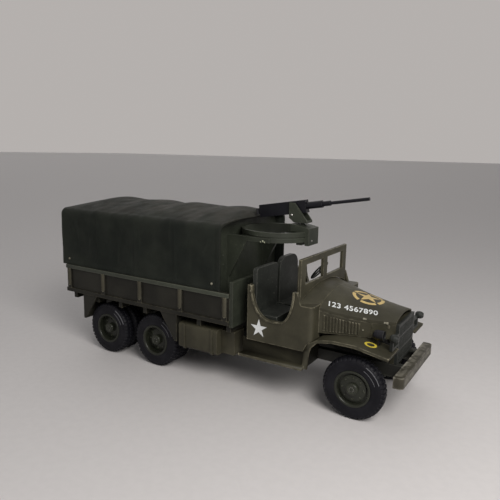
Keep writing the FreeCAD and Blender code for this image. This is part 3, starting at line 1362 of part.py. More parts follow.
def build():
    """Return every node's name with its solids."""
    left_bed_side = bed_side()
    left_box = under_bed_box()
    left_fender = fender()
    left_bonnet_side = bonnet_side()
    driver_seat = seat(SEAT_LEFT_SHARES, BACK_TOP_LEFT, BACK_ROUND)
    passenger_seat = mirrored(seat(SEAT_RIGHT_SHARES, BACK_TOP_RIGHT, BACK_CORNER))
    return {
        "front_tyres": front_tyres(),
        "front_rims": front_rims(),
        "front_axle_rod": axle_rod(FRONT_AXLE_X, FRONT_WHEEL_FACE, FRONT_DISH,
                                   FRONT_HUB_LENGTH),
        "middle_tyres": twin_tyres(MIDDLE_AXLE_X),
        "middle_rims": twin_rims(MIDDLE_AXLE_X),
        "middle_axle_rod": axle_rod(MIDDLE_AXLE_X, REAR_WHEEL_FACE, REAR_DISH,
                                    REAR_HUB_LENGTH),
        "rear_tyres": twin_tyres(REAR_AXLE_X),
        "rear_rims": twin_rims(REAR_AXLE_X),
        "rear_axle_rod": axle_rod(REAR_AXLE_X, REAR_WHEEL_FACE, REAR_DISH, REAR_HUB_LENGTH),
        "chassis_frame": chassis_frame(),
        "front_bumper": front_bumper(),
        "front_axle_case": front_axle_case(),
        "middle_axle_case": rear_axle_case(MIDDLE_AXLE_X),
        "rear_axle_case": rear_axle_case(REAR_AXLE_X),
        "front_springs": front_springs(),
        "rear_springs": rear_springs(),
        "bogie_trunnion": trunnion(),
        "power_unit": power_unit(),
        "drive_line": drive_line(),
        "fuel_tank": [mirrored(left_box)],
        "tool_chest": [left_box],
        "radiator_shell": radiator_shell(),
        "grille_guard": grille_guard(),
        "headlamps": headlamps(),
        "bonnet": bonnet(),
        "bonnet_side_left": [left_bonnet_side],
        "bonnet_side_right": [mirrored(left_bonnet_side)],
        "fender_left": [left_fender],
        "fender_right": [mirrored(left_fender)],
        "cab_tub": cab_tub(),
        "windscreen_frame": windscreen_frame(),
        "steering_wheel": steering(),
        "driver_seat": [driver_seat],
        "passenger_seat": [passenger_seat],
        "bed_floor": bed_floor(),
        "bed_side_left": [left_bed_side],
        "bed_side_right": [mirrored(left_bed_side)],
        "headboard": headboard(),
        "tailgate": tailgate(),
        "splash_flaps": splash_flaps(),
        "canvas_cover": canvas_cover(),
        "mount_bulkhead": mount_bulkhead(),
        "gun_ring": gun_ring(),
        "ring_carriage": ring_carriage(),
        "gun_cradle": gun_cradle(),
        "gun_receiver": gun_receiver(),
        "gun_barrel": gun_barrel(),
    }


os.makedirs("parts", exist_ok=True)
for node, solids in build().items():
    shape = solids[0] if len(solids) == 1 else Part.makeCompound(solids)
    shape.exportStep(os.path.join("parts", node + ".step"))
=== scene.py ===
"""Looks of a die-cast model of a six-wheel cargo truck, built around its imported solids.

Each sub-assembly is a class that keeps its sizes as fields, builds its meshes with bmesh and
dresses them and the solids that it stands with. Sizes are metres, written as millimetres
times MM. X runs forward, Y to the truck's left and Z up, from the ground below the middle.
"""

import json
import logging
import math
from dataclasses import dataclass
from enum import Enum
from typing import Optional, Sequence, Union

import bmesh
import bpy
from mathutils import Matrix, Vector
from mathutils.bvhtree import BVHTree


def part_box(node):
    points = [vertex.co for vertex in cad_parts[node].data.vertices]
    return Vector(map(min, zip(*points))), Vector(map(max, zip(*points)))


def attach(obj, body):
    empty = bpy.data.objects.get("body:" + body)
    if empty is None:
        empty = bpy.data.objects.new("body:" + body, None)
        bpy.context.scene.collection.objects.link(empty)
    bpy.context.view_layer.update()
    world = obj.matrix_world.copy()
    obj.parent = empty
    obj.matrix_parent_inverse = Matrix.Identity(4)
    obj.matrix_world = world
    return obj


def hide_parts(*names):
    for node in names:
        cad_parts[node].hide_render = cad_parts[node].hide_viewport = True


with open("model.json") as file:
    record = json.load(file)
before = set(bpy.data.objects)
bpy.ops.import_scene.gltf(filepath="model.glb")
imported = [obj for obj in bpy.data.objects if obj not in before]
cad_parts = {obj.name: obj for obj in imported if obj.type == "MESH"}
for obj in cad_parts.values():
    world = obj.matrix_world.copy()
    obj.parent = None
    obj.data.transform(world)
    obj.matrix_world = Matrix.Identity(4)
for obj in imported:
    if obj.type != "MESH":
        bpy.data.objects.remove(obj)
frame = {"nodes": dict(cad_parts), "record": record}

LOG = logging.getLogger("cargo_truck")
MM = 0.001
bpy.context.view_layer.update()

AHEAD = Vector((1.0, 0.0, 0.0))
LEFT = Vector((0.0, 1.0, 0.0))
UP = Vector((0.0, 0.0, 1.0))
TOUCHING = 0.0005 * MM
TINY = 1e-9

Number = Union["Value", float, int]
Colour = tuple[float, float, float]
Span = tuple[float, float]
Profile = Sequence[Span]
Places = Sequence[tuple[float, float, float, float]]


class Body(Enum):
    """The rigid bodies that pieces ride on."""

    TRUCK = "truck"
    FRONT_WHEELS = "front_wheels"
    MIDDLE_WHEELS = "middle_wheels"
    REAR_WHEELS = "rear_wheels"
    GUN = "gun"


class Side(Enum):
    """The truck's two sides, as the sign of Y."""

    LEFT = 1
    RIGHT = -1


def scaled(colour: Colour, share: float) -> Colour:
    """Return a colour with each part at a share of its level."""
    return tuple(share * part for part in colour)


def in_metres(profile: Profile, size: float = MM) -> list[tuple[float, float]]:
    """Return pairs of radius and distance, given in millimetres or in another size."""
    return [(radius * size, distance * size) for radius, distance in profile]


def add_object(name: str, data: bpy.types.ID) -> bpy.types.Object:
    """Make an object and put it in the scene.

    Args:
        name: Its name.
        data: Its mesh, lamp or camera.

    Returns:
        The object.
    """
    made = bpy.data.objects.new(name, data)
    bpy.context.scene.collection.objects.link(made)
    return made


@dataclass(frozen=True)
class Noise:
    """A noise pattern: bumps per millimetre, octaves, squeeze and the levels of its mask."""

    scale: float
    detail: float = 3.0
    squeeze: Optional[tuple[float, float, float]] = None
    levels: Span = (0.0, 1.0)


class Value:
    """A shader socket that takes part in Python sums by adding Math nodes."""

    def __init__(self, graph: "Graph", socket: bpy.types.NodeSocket) -> None:
        """Keep a socket and its graph.

        Args:
            graph: The graph that the socket belongs to.
            socket: The output socket.
        """
        self.graph = graph
        self.socket = socket

    def _sum(self, operation: str, first: Number, second: Number) -> "Value":
        """Add one Math node.

        Args:
            operation: The Math node's operation.
            first: Its first operand.
            second: Its second operand.

        Returns:
            The node's result.
        """
        return self.graph.node("ShaderNodeMath", {"operation": operation}, {0: first, 1: second})

    def __add__(self, other: Number) -> "Value":
        """Return the sum."""
        return self._sum("ADD", self, other)

    def __radd__(self, other: Number) -> "Value":
        """Return the sum, operands the other way round."""
        return self._sum("ADD", other, self)

    def __sub__(self, other: Number) -> "Value":
        """Return the difference."""
        return self._sum("SUBTRACT", self, other)

    def __rsub__(self, other: Number) -> "Value":
        """Return the difference, operands the other way round."""
        return self._sum("SUBTRACT", other, self)

    def __mul__(self, other: Number) -> "Value":
        """Return the product."""
        return self._sum("MULTIPLY", self, other)

    def __rmul__(self, other: Number) -> "Value":
        """Return the product, operands the other way round."""
        return self._sum("MULTIPLY", other, self)


class Graph:
    """The node tree of a material or of the world."""

    def __init__(self, owner: Union[bpy.types.Material, bpy.types.World]) -> None:
        """Start an empty tree.

        Args:
            owner: The material or world.
        """
        owner.use_nodes = True
        self.owner = owner
        self.tree = owner.node_tree
        self.tree.nodes.clear()

    def node(self, kind: str, settings: dict, sockets: dict, output: Union[int, str] = 0) -> Value:
        """Add a node with its settings first and its sockets after them.

        Args:
            kind: The node's type.
            settings: Attributes of the node.
            sockets: Input names or numbers, with a value or a link for each.
            output: The output to return.

        Returns:
            The chosen output.
        """
        made = self.tree.nodes.new(kind)
        for name, setting in settings.items():
            setattr(made, name, setting)
        for name, given in sockets.items():
            if isinstance(given, Value):
                self.tree.links.new(given.socket, made.inputs[name])
            elif isinstance(given, tuple) and len(given) == 3 and len(
                    getattr(made.inputs[name], "default_value", ())) == 4:
                made.inputs[name].default_value = (*given, 1.0)
            else:
                made.inputs[name].default_value = given
        return Value(self, made.outputs[output]) if made.outputs else Value(self, None)


class Coat(Graph):
    """The node tree of one material, with the patterns that the finishes share."""

    OCTAVE_STRENGTH = 0.55
    EDGE_SHADE = (0.22, 0.75)
    HOLLOW_SHADE = (0.1, 0.8)
    SHADE_RAYS = 8
    ROUNDING_RAYS = 4

    def __init__(self, name: str) -> None:
        """Start an empty material.

        Args:
            name: The material's name.
        """
        super().__init__(bpy.data.materials.new(name))
        self.place = self.node("ShaderNodeTexCoord", {}, {}, "Object")

    def noise(self, pattern: Noise) -> Value:
        """Return the factor of a noise pattern, about 0 to 1."""
        place = self.place
        if pattern.squeeze is not None:
            place = self.node("ShaderNodeMapping", {},
                              {"Vector": place, "Scale": pattern.squeeze})
        return self.node("ShaderNodeTexNoise", {}, {
            "Vector": place, "Scale": pattern.scale / MM, "Detail": pattern.detail,
            "Roughness": self.OCTAVE_STRENGTH})

    def patches(self, pattern: Noise) -> Value:
        """Return a mask that is 0 at a pattern's lower level and 1 at its upper one."""
        return self.between(self.noise(pattern), *pattern.levels)

    def between(self, value: Value, low: float, high: float) -> Value:
        """Return a value spread smoothly from 0 at low to 1 at high.

        Args:
            value: The value to spread.
            low: Where the result is 0.
            high: Where the result is 1.

        Returns:
            The spread value.
        """
        return self.node("ShaderNodeMapRange", {"interpolation_type": "SMOOTHSTEP"}, {
            "Value": value, "From Min": low, "From Max": high})

    def mix(self, factor: Number, first: Union[Value, Colour], second: Union[Value, Colour]
            ) -> Value:
        """Return a colour between two colours.

        Args:
            factor: 0 for the first colour, 1 for the second.
            first: The first colour.
            second: The second colour.

        Returns:
            The mixed colour.
        """
        return self.node("ShaderNodeMix", {"data_type": "RGBA"},
                         {0: factor, 6: first, 7: second}, 2)

    def mottled(self, colour: Colour, shades: Span, pattern: Value, levels: Span) -> Value:
        """Return a colour that varies between two shades of itself.

        Args:
            colour: The colour.
            shades: Its share at the pattern's low and at its high places.
            pattern: The pattern.
            levels: Where only the first and where only the second shade shows.

        Returns:
            The mottled colour.
        """
        return self.mix(self.between(pattern, *levels), *(scaled(colour, share)
                                                          for share in shades))

    def shaded(self, reach: float, inside: bool, limits: Span) -> Value:
        """Return a mask that is 1 where surfaces stand near each other.

        Args:
            reach: How far from there the mask starts.
            inside: Whether it is found in the material, which gives edges, or out of it.
            limits: The shade at which the mask starts, and the shade at which it is 1.

        Returns:
            The mask.
        """
        open_sky = self.node("ShaderNodeAmbientOcclusion",
                             {"inside": inside, "only_local": True, "samples": self.SHADE_RAYS},
                             {"Distance": reach}, "AO")
        return self.between(1.0 - open_sky, *limits)

    def edges(self, reach: float) -> Value:
        """Return a mask that is 1 on outer edges and corners, where paint wears and where
        highlights are painted.
        """
        return self.shaded(reach, True, self.EDGE_SHADE)

    def hollows(self, reach: float) -> Value:
        """Return a mask that is 1 in hollows, where shade is painted."""
        return self.shaded(reach, False, self.HOLLOW_SHADE)

    def soft_edges(self, radius: float) -> Value:
        """Return a normal that rounds sharp edges by a radius."""
        return self.node("ShaderNodeBevel", {"samples": self.ROUNDING_RAYS}, {"Radius": radius})

    def bump(self, height: Value, depth: float, normal: Optional[Value] = None) -> Value:
        """Return a normal with relief.

        Args:
            height: The relief from 0 to 1.
            depth: The relief's depth in metres.
            normal: The normal that the relief starts from.

        Returns:
            The normal.
        """
        sockets = {"Height": height, "Distance": depth}
        if normal is not None:
            sockets["Normal"] = normal
        return self.node("ShaderNodeBump", {}, sockets)

    def shade(self, sockets: dict) -> bpy.types.Material:
        """Close the graph with a Principled shader.

        Args:
            sockets: The shader's inputs.

        Returns:
            The finished material.
        """
        shader = self.node("ShaderNodeBsdfPrincipled", {}, sockets)
        self.node("ShaderNodeOutputMaterial", {}, {"Surface": shader})
        return self.owner


@dataclass(frozen=True)
class Enamel:
    """Satin enamel on a zinc casting: slight orange peel, painted shade in hollows, rubbed edges.
    """

    name: str
    colour: Colour
    rubbed: Colour = (0.25, 0.225, 0.15)
    rubbing: float = 0.5
    reach: float = 0.42 * MM
    roughness: float = 0.42
    speckle: float = 0.25
    shades: Span = (0.72, 1.28)
    clouds: Noise = Noise(0.09, 4.0, levels=(0.32, 0.68))
    worn_spots: Noise = Noise(0.55, 4.0, levels=(0.34, 0.6))
    chips: Noise = Noise(2.6, levels=(0.69, 0.76))
    chipped: Span = (0.5, 0.62)
    orange_peel: Noise = Noise(1.1, 2.0)
    dull_spots: Noise = Noise(0.3, levels=(0.2, 0.8))
    dulling: float = 0.14
    worn_dulling: float = 0.1
    # Painted shade: hollows are darkened to a share of the colour, as if shadow fell there.
    painted_shade_level: float = 0.3
    painted_shade: float = 0.7
    painted_shade_reach: float = 1.0 * MM
    peel: float = 0.035 * MM
    edge: float = 0.16 * MM
    gloss: float = 0.22

    def make(self) -> bpy.types.Material:
        """Build the material.

        Returns:
            The material.
        """
        coat = Coat(self.name)
        broad = coat.noise(self.clouds)
        colour = coat.mottled(self.colour, self.shades, broad, self.clouds.levels)
        # Painted shade: the colour darkens in hollows, where shadow falls.
        colour = coat.mix(coat.hollows(self.painted_shade_reach) * self.painted_shade, colour,
                          scaled(self.colour, self.painted_shade_level))
        wear = coat.edges(self.reach) * coat.patches(self.worn_spots) * self.rubbing
        chips = coat.patches(self.chips) * coat.between(broad, *self.chipped)
        colour = coat.mix(wear, colour, self.rubbed)
        colour = coat.mix(chips * self.speckle, colour, self.rubbed)
        normal = coat.bump(coat.noise(self.orange_peel), self.peel, coat.soft_edges(self.edge))
        rough = coat.patches(self.dull_spots) * self.dulling + self.roughness
        return coat.shade({"Base Color": colour, "Roughness": rough + wear * self.worn_dulling,
                           "Normal": normal, "Specular IOR Level": self.gloss})


@dataclass(frozen=True)
class Moulding:
    """Moulded plastic: even colour, fine spark texture and edges painted paler, partly as wear and
    partly as a painted highlight.
    """

    name: str
    colour: Colour
    roughness: float = 0.5
    dust: float = 0.25
    # One colour serves the dust specks and the paler edges, which are partly wear and partly a
    # painted highlight.
    dust_and_highlight_colour: Colour = (0.16, 0.17, 0.13)
    glint: float = 0.35
    glint_reach: float = 0.3 * MM
    shades: Span = (0.75, 1.3)
    clouds: Noise = Noise(0.12, levels=(0.3, 0.7))
    specks: Noise = Noise(1.7, 4.0, levels=(0.62, 0.74))
    specked: Span = (0.4, 0.6)
    grain: Noise = Noise(1.8)
    dull_spots: Noise = Noise(0.4, levels=(0.2, 0.8))
    dulling: float = 0.15
    depth: float = 0.03 * MM
    edge: float = 0.12 * MM
    gloss: float = 0.32

    def make(self) -> bpy.types.Material:
        """Build the material.

        Returns:
            The material.
        """
        coat = Coat(self.name)
        broad = coat.noise(self.clouds)
        colour = coat.mottled(self.colour, self.shades, broad, self.clouds.levels)
        specks = coat.patches(self.specks) * coat.between(broad, *self.specked)
        colour = coat.mix(specks * self.dust, colour, self.dust_and_highlight_colour)
        # Painted highlight, partly wear: outer edges are paled towards the dust colour.
        colour = coat.mix(coat.edges(self.glint_reach) * self.glint, colour, self.dust_and_highlight_colour)
        normal = coat.bump(coat.noise(self.grain), self.depth, coat.soft_edges(self.edge))
        rough = coat.patches(self.dull_spots) * self.dulling + self.roughness
        return coat.shade({"Base Color": colour, "Roughness": rough, "Normal": normal,
                           "Specular IOR Level": self.gloss})


@dataclass(frozen=True)
class Canvas:
    """Plastic moulded like stretched canvas: a fine weave, streaks, dust with a painted sheen on
    top and painted highlights on its edges.
    """

    name: str
    colour: Colour = (0.0078, 0.0104, 0.0078)
    faded: Colour = (0.025, 0.029, 0.0215)
    # One colour serves the dust with its painted sheen on the roof and the paler edges, which are
    # a painted highlight.
    dust_and_sheen: Colour = (0.048, 0.043, 0.036)
    dust_and_sheen_height: float = 50.5 * MM
    dust_and_sheen_rise: float = 4.5 * MM
    dust: float = 0.6
    dust_spots: Noise = Noise(0.22, 4.0, (1.0, 0.3, 1.0), (0.3, 0.7))
    faded_spots: Noise = Noise(0.07, 4.0, levels=(0.35, 0.65))
    fading: float = 0.55
    streaks: Noise = Noise(0.5, 3.0, (1.0, 1.0, 0.12), (0.56, 0.74))
    streaking: float = 0.4
    rim_reach: float = 0.6 * MM
    rim: float = 0.4
    pitch: float = 0.24 * MM
    waver: float = 0.6
    waver_scale: float = 2.0
    thread_share: float = 0.5
    lumps: Noise = Noise(0.6)
    lump_share: float = 0.8
    dull_spots: Noise = Noise(0.2, levels=(0.25, 0.75))
    dulling: float = 0.14
    depth: float = 0.05 * MM
    edge: float = 0.2 * MM
    roughness: float = 0.62
    gloss: float = 0.2

    def threads(self, coat: Coat, way: str) -> Value:
        """Return the relief of the threads that lie one behind the other along an axis.

        Args:
            coat: The material's graph.
            way: The axis.

        Returns:
            The relief.
        """
        return coat.node("ShaderNodeTexWave", {"wave_type": "BANDS", "bands_direction": way}, {
            "Vector": coat.place, "Scale": 0.5 / self.pitch, "Distortion": self.waver,
            "Detail": 1.0, "Detail Scale": self.waver_scale}, 1)

    def make(self) -> bpy.types.Material:
        """Build the material.

        Returns:
            The material.
        """
        coat = Coat(self.name)
        colour = coat.mix(coat.patches(self.faded_spots) * self.fading, self.colour, self.faded)
        colour = coat.mix(coat.patches(self.streaks) * self.streaking, colour, self.faded)
        height = coat.node("ShaderNodeSeparateXYZ", {}, {0: coat.place}, "Z")
        # Dust with a painted sheen: the roof turns paler and browner in streaks across it.
        on_top = coat.between(height, self.dust_and_sheen_height, self.dust_and_sheen_height + self.dust_and_sheen_rise)
        colour = coat.mix(on_top * coat.patches(self.dust_spots) * self.dust, colour,
                          self.dust_and_sheen)
        # Painted highlight: edges are paled towards the same colour.
        colour = coat.mix(coat.edges(self.rim_reach) * self.rim, colour, self.dust_and_sheen)
        weave = (self.threads(coat, "X") * self.thread_share
                 + self.threads(coat, "Z") * self.thread_share)
        normal = coat.bump(weave + coat.noise(self.lumps) * self.lump_share, self.depth,
                           coat.soft_edges(self.edge))
        rough = coat.patches(self.dull_spots) * self.dulling + self.roughness
        return coat.shade({"Base Color": colour, "Roughness": rough, "Normal": normal,
                           "Specular IOR Level": self.gloss})


@dataclass(frozen=True)
class Vinyl:
    """Soft dark tyre vinyl with a slight sheen, dust on its tread and edges painted paler as a
    highlight.
    """

    name: str
    colour: Colour = (0.0030, 0.0030, 0.0052)
    dust_and_sheen: Colour = (0.03, 0.03, 0.037)
    dust_spots: Noise = Noise(0.2, levels=(0.35, 0.7))
    dust: float = 0.22
    grain: Noise = Noise(1.5, 4.0, levels=(0.3, 0.7))
    dulling: float = 0.14
    rim_reach: float = 0.25 * MM
    rim: float = 0.3
    depth: float = 0.02 * MM
    edge: float = 0.08 * MM
    roughness: float = 0.5
    gloss: float = 0.2

    def make(self) -> bpy.types.Material:
        """Build the material.

        Returns:
            The material.
        """
        coat = Coat(self.name)
        fine = coat.noise(self.grain)
        colour = coat.mix(coat.patches(self.dust_spots) * self.dust, self.colour, self.dust_and_sheen)
        # Painted highlight: the lug edges are paled towards the dust colour.
        colour = coat.mix(coat.edges(self.rim_reach) * self.rim, colour, self.dust_and_sheen)
        normal = coat.bump(fine, self.depth, coat.soft_edges(self.edge))
        rough = coat.between(fine, *self.grain.levels) * self.dulling + self.roughness
        return coat.shade({"Base Color": colour, "Roughness": rough, "Normal": normal,
                           "Specular IOR Level": self.gloss})


@dataclass(frozen=True)
class Wire:
    """Drawn steel axle wire with fine scratches along it."""

    name: str
    colour: Colour = (0.46, 0.45, 0.43)
    dull: float = 0.55
    tarnish: Noise = Noise(0.3, levels=(0.4, 0.7))
    tarnishing: float = 0.5
    scratches: Noise = Noise(3.0, 3.0, (1.0, 0.05, 1.0))
    dulling: float = 0.2
    depth: float = 0.01 * MM
    roughness: float = 0.3

    def make(self) -> bpy.types.Material:
        """Build the material.

        Returns:
            The material.
        """
        coat = Coat(self.name)
        scratch = coat.noise(self.scratches)
        colour = coat.mix(coat.patches(self.tarnish) * self.tarnishing, self.colour,
                          scaled(self.colour, self.dull))
        return coat.shade({"Base Color": colour, "Metallic": 1.0,
                           "Roughness": scratch * self.dulling + self.roughness,
                           "Normal": coat.bump(scratch, self.depth)})


@dataclass(frozen=True)
class Print:
    """Pad-printed ink: flat colour, slightly worn through to the paint below."""

    name: str
    colour: Colour
    below: Colour
    wear: float = 0.3
    shades: Span = (1.0, 0.86)
    clouds: Noise = Noise(0.5, levels=(0.4, 0.7))
    grain: Noise = Noise(2.2, 4.0, levels=(0.6, 0.72))
    dulling: float = 0.2
    depth: float = 0.01 * MM
    roughness: float = 0.45

    def make(self) -> bpy.types.Material:
        """Build the material.

        Returns:
            The material.
        """
        coat = Coat(self.name)
        fine = coat.noise(self.grain)
        worn = coat.between(fine, *self.grain.levels) * self.wear
        colour = coat.mottled(self.colour, self.shades, coat.noise(self.clouds),
                              self.clouds.levels)
        colour = coat.mix(worn, colour, self.below)
        return coat.shade({"Base Color": colour,
                           "Roughness": worn * self.dulling + self.roughness,
                           "Normal": coat.bump(fine, self.depth)})


class Finishes:
    """Every finish of the model, made once."""

    def __init__(self) -> None:
        """Build the materials that the slots and the added pieces use."""
        olive = (0.0435, 0.0404, 0.0262)
        self.olive = Enamel("olive_enamel", olive, rubbing=0.4).make()
        # Painted shade: the bed gets a darker copy of the olive paint, standing in for the dimmer
        # light over the rear.
        self.bed = Enamel("bed_enamel", (0.0165, 0.0158, 0.0120), rubbing=0.4).make()
        self.cab = Enamel("cab_enamel", olive, rubbed=(0.33, 0.30, 0.21), rubbing=0.95,
                          reach=0.62 * MM).make()
        # Painted highlight: the bed posts get a paler copy of the olive paint, standing in for
        # light on their rounded faces.
        self.post = Enamel("post_enamel", (0.062, 0.057, 0.039), rubbing=0.8).make()
        # Pale louvre and crease edges: partly wear, partly a painted highlight on the lit edges.
        self.engine_side = Enamel("louvre_enamel", olive, rubbed=(0.36, 0.33, 0.24),
                                  rubbing=0.9, reach=0.34 * MM).make()
        self.bumper = Enamel("rubbed_enamel", (0.046, 0.0415, 0.029),
                             rubbed=(0.35, 0.33, 0.275), rubbing=0.8, reach=0.8 * MM,
                             speckle=0.95).make()
        self.rubbed = Enamel("rubbed_fitting", (0.10, 0.09, 0.062), rubbed=(0.4, 0.38, 0.3),
                             rubbing=0.9, reach=0.6 * MM).make()
        self.scar = Print("scarred_plastic", (0.42, 0.44, 0.31), (0.05, 0.055, 0.035), 0.4).make()
        self.chassis = Moulding("chassis_plastic", (0.020, 0.020, 0.017), 0.5).make()
        self.mount = Moulding("mount_plastic", (0.027, 0.031, 0.022), 0.42, dust=0.6,
                              glint=0.5).make()
        self.gun = Moulding("gun_plastic", (0.0036, 0.0036, 0.0062), 0.32, glint=0.1).make()
        self.seat = Moulding("seat_plastic", (0.017, 0.019, 0.016), 0.4, dust=0.7,
                             dust_and_highlight_colour=(0.26, 0.26, 0.23), glint=0.6).make()
        self.guard = Moulding("guard_plastic", (0.0165, 0.0185, 0.0165), 0.4,
                              dust_and_highlight_colour=(0.10, 0.105, 0.09)).make()
        self.hub = Moulding("wheel_plastic", (0.016, 0.0175, 0.012), 0.24,
                            dust_and_highlight_colour=(0.22, 0.23, 0.16), glint=0.16).make()
        self.canvas = Canvas("canvas_plastic").make()
        self.tyre = Vinyl("tyre_vinyl").make()
        self.steel = Wire("axle_wire").make()
        self.white = Print("white_ink", (0.74, 0.76, 0.76), olive).make()
        self.yellow = Print("pale_yellow_ink", (0.60, 0.44, 0.17), olive, 0.2).make()
        self.disc_yellow = Print("bright_yellow_ink", (0.66, 0.52, 0.06), olive, 0.2).make()
        # Painted highlight: the raised tyre arcs are printed pale grey on the dark vinyl.
        self.rubbed_vinyl = Print("rubbed_vinyl", (0.13, 0.13, 0.14), (0.01, 0.01, 0.012),
                                  0.7).make()

    def of_node(self, node: str, slot: str) -> bpy.types.Material:
        """Return the finish of a solid.

        Args:
            node: The solid's name.
            slot: The record's material slot of that solid.

        Returns:
            The material.
        """
        # The bed's darker paint is painted shade.
        if node.startswith("bed_") or node in ("tailgate", "splash_flaps"):
            return self.bed
        if node.startswith("bonnet_side"):
            return self.engine_side
        if node in ("cab_tub", "windscreen_frame"):
            return self.cab
        return {
            "olive_body": self.olive, "bumper_worn": self.bumper,
            "chassis_black": self.chassis, "canvas_green": self.canvas,
            "mount_green": self.mount, "gun_black": self.gun, "tyre_rubber": self.tyre,
            "wheel_olive": self.hub, "axle_steel": self.steel, "seat_dark": self.seat,
            "guard_dark": self.guard,
        }[slot]


def dress(node: str, material: bpy.types.Material) -> None:
    """Give a solid of the frame its finish.

    Args:
        node: The node's name.
        material: The finish.
    """
    mesh = frame["nodes"][node].data
    mesh.materials.clear()
    mesh.materials.append(material)


class Shape:
    """A mesh in the making, in metres and in the truck's own directions."""

    SHARP = 0.35
    CAST = 60 * MM

    def __init__(self) -> None:
        """Start with an empty mesh."""
        self.mesh = bmesh.new()

    @property
    def everything(self) -> list:
        """Return every vertex, edge and face."""
        return [*self.mesh.verts, *self.mesh.edges, *self.mesh.faces]

    def soften(self, verts: Sequence[bmesh.types.BMVert], radius: float, segments: int) -> None:
        """Round the sharp edges between vertices.

        Args:
            verts: The vertices.
            radius: The rounding's radius.
            segments: Faces across the rounding.
        """
        edges = {edge for vert in verts for edge in vert.link_edges
                 if edge.is_manifold and edge.calc_face_angle() > self.SHARP}
        bmesh.ops.bevel(self.mesh, geom=list(edges), offset=radius, offset_type="OFFSET",
                        segments=segments, profile=0.5, affect="EDGES", clamp_overlap=True,
                        material=-1)

    def block(self, low: Vector, high: Vector, radius: float) -> None:
        """Add a block with rounded edges.

        Args:
            low: The lowest corner.
            high: The highest corner.
            radius: Radius of its edges.
        """
        place = Matrix.Translation((low + high) / 2) @ Matrix.Diagonal((*(high - low), 1.0))
        verts = bmesh.ops.create_cube(self.mesh, size=1.0, matrix=place)["verts"]
        self.soften(verts, radius, 2)

    def rod(self, start: Vector, end: Vector, radius: float, sides: int) -> None:
        """Add a round bar.

        Args:
            start: Middle of its first end.
            end: Middle of its other end.
            radius: Its radius.
            sides: Faces round it.
        """
        run = end - start
        turn = run.to_track_quat("Z", "Y").to_matrix().to_4x4()
        bmesh.ops.create_cone(
            self.mesh, cap_ends=True, segments=sides, radius1=radius, radius2=radius,
            depth=run.length, matrix=Matrix.Translation((start + end) / 2) @ turn)

    def turned(self, outline: Profile, centre: Vector, direction: Vector, sides: int,
               closed: bool = False, first: Optional[Vector] = None,
               sweep: float = math.tau) -> None:
        """Spin an outline of radius and distance about a line.

        Args:
            outline: Pairs of radius and distance along the line.
            centre: Where the line starts.
            direction: The line's direction.
            sides: Steps round the line.
            closed: Whether the outline is a closed loop with a face across its ends.
            first: Direction from the line to the first outline.
            sweep: Angle from the first step to the last.
        """
        along = direction.normalized()
        side = along.orthogonal().normalized() if first is None else first
        verts = [self.mesh.verts.new(centre + along * distance + side * radius)
                 for radius, distance in outline]
        pairs = list(zip(verts, verts[1:]))
        if closed:
            pairs.append((verts[-1], verts[0]))
        geometry = [*verts, *(self.mesh.edges.new(pair) for pair in pairs)]
        whole = sweep == math.tau
        if closed and not whole:
            geometry.append(self.mesh.faces.new(verts))
        bmesh.ops.spin(self.mesh, geom=geometry, cent=centre, axis=along, angle=sweep,
                       steps=sides, use_merge=whole)

    def plate(self, outline: Sequence[Vector], rise: Vector, radius: float = 0.0) -> None:
        """Extrude a flat outline.

        Args:
            outline: Its corners in order.
            rise: How far and which way it is extruded.
            radius: Width of the bevel on its edges.
        """
        base = [self.mesh.verts.new(corner) for corner in outline]
        made = bmesh.ops.extrude_face_region(self.mesh, geom=[self.mesh.faces.new(base)])
        top = [item for item in made["geom"] if isinstance(item, bmesh.types.BMVert)]
        bmesh.ops.translate(self.mesh, vec=rise, verts=top)
        if radius:
            self.soften(base + top, radius, 1)

    def repeat_round(self, before: set, centre: Vector, direction: Vector, count: int) -> None:
        """Copy what was added last evenly round a line.

        Args:
            before: The vertices that were there before it.
            centre: A point on the line.
            direction: The line's direction.
            count: How many there are in all.
        """
        verts = [vert for vert in self.mesh.verts if vert not in before]
        edges = {edge for vert in verts for edge in vert.link_edges}
        faces = {face for vert in verts for face in vert.link_faces}
        bmesh.ops.spin(self.mesh, geom=[*verts, *edges, *faces], cent=centre, axis=direction,
                       angle=math.tau * (count - 1) / count, steps=count - 1,
                       use_duplicate=True)

    def mirror_y(self) -> None:
        """Add the mirror image of everything on the truck's other side."""
        copied = bmesh.ops.duplicate(self.mesh, geom=self.everything)["geom"]
        verts = [item for item in copied if isinstance(item, bmesh.types.BMVert)]
        bmesh.ops.scale(self.mesh, vec=Vector((1.0, -1.0, 1.0)), verts=verts)

    def cut_into_cells(self, pitch: float) -> None:
        """Cut flat faces by a square lattice so that they can follow a curve.

        Args:
            pitch: The lattice's pitch.
        """
        for axis in (AHEAD, LEFT, UP):
            places = [vert.co.dot(axis) for vert in self.mesh.verts]
            place = min(places) + pitch
            while place < max(places) - TINY:
                bmesh.ops.bisect_plane(self.mesh, geom=self.everything, plane_co=axis * place,
                                       plane_no=axis)
                place += pitch

    def lay_on(self, surface: BVHTree, way: Vector, lift: float) -> None:
        """Press every vertex on to a surface.

        Args:
            surface: The surface.
            way: Direction in which it is pressed.
            lift: Height at which it stays above the surface.
        """
        for vert in self.mesh.verts:
            hit = surface.ray_cast(vert.co - way * self.CAST, way)[0]
            if hit is not None:
                vert.co = hit - way * lift

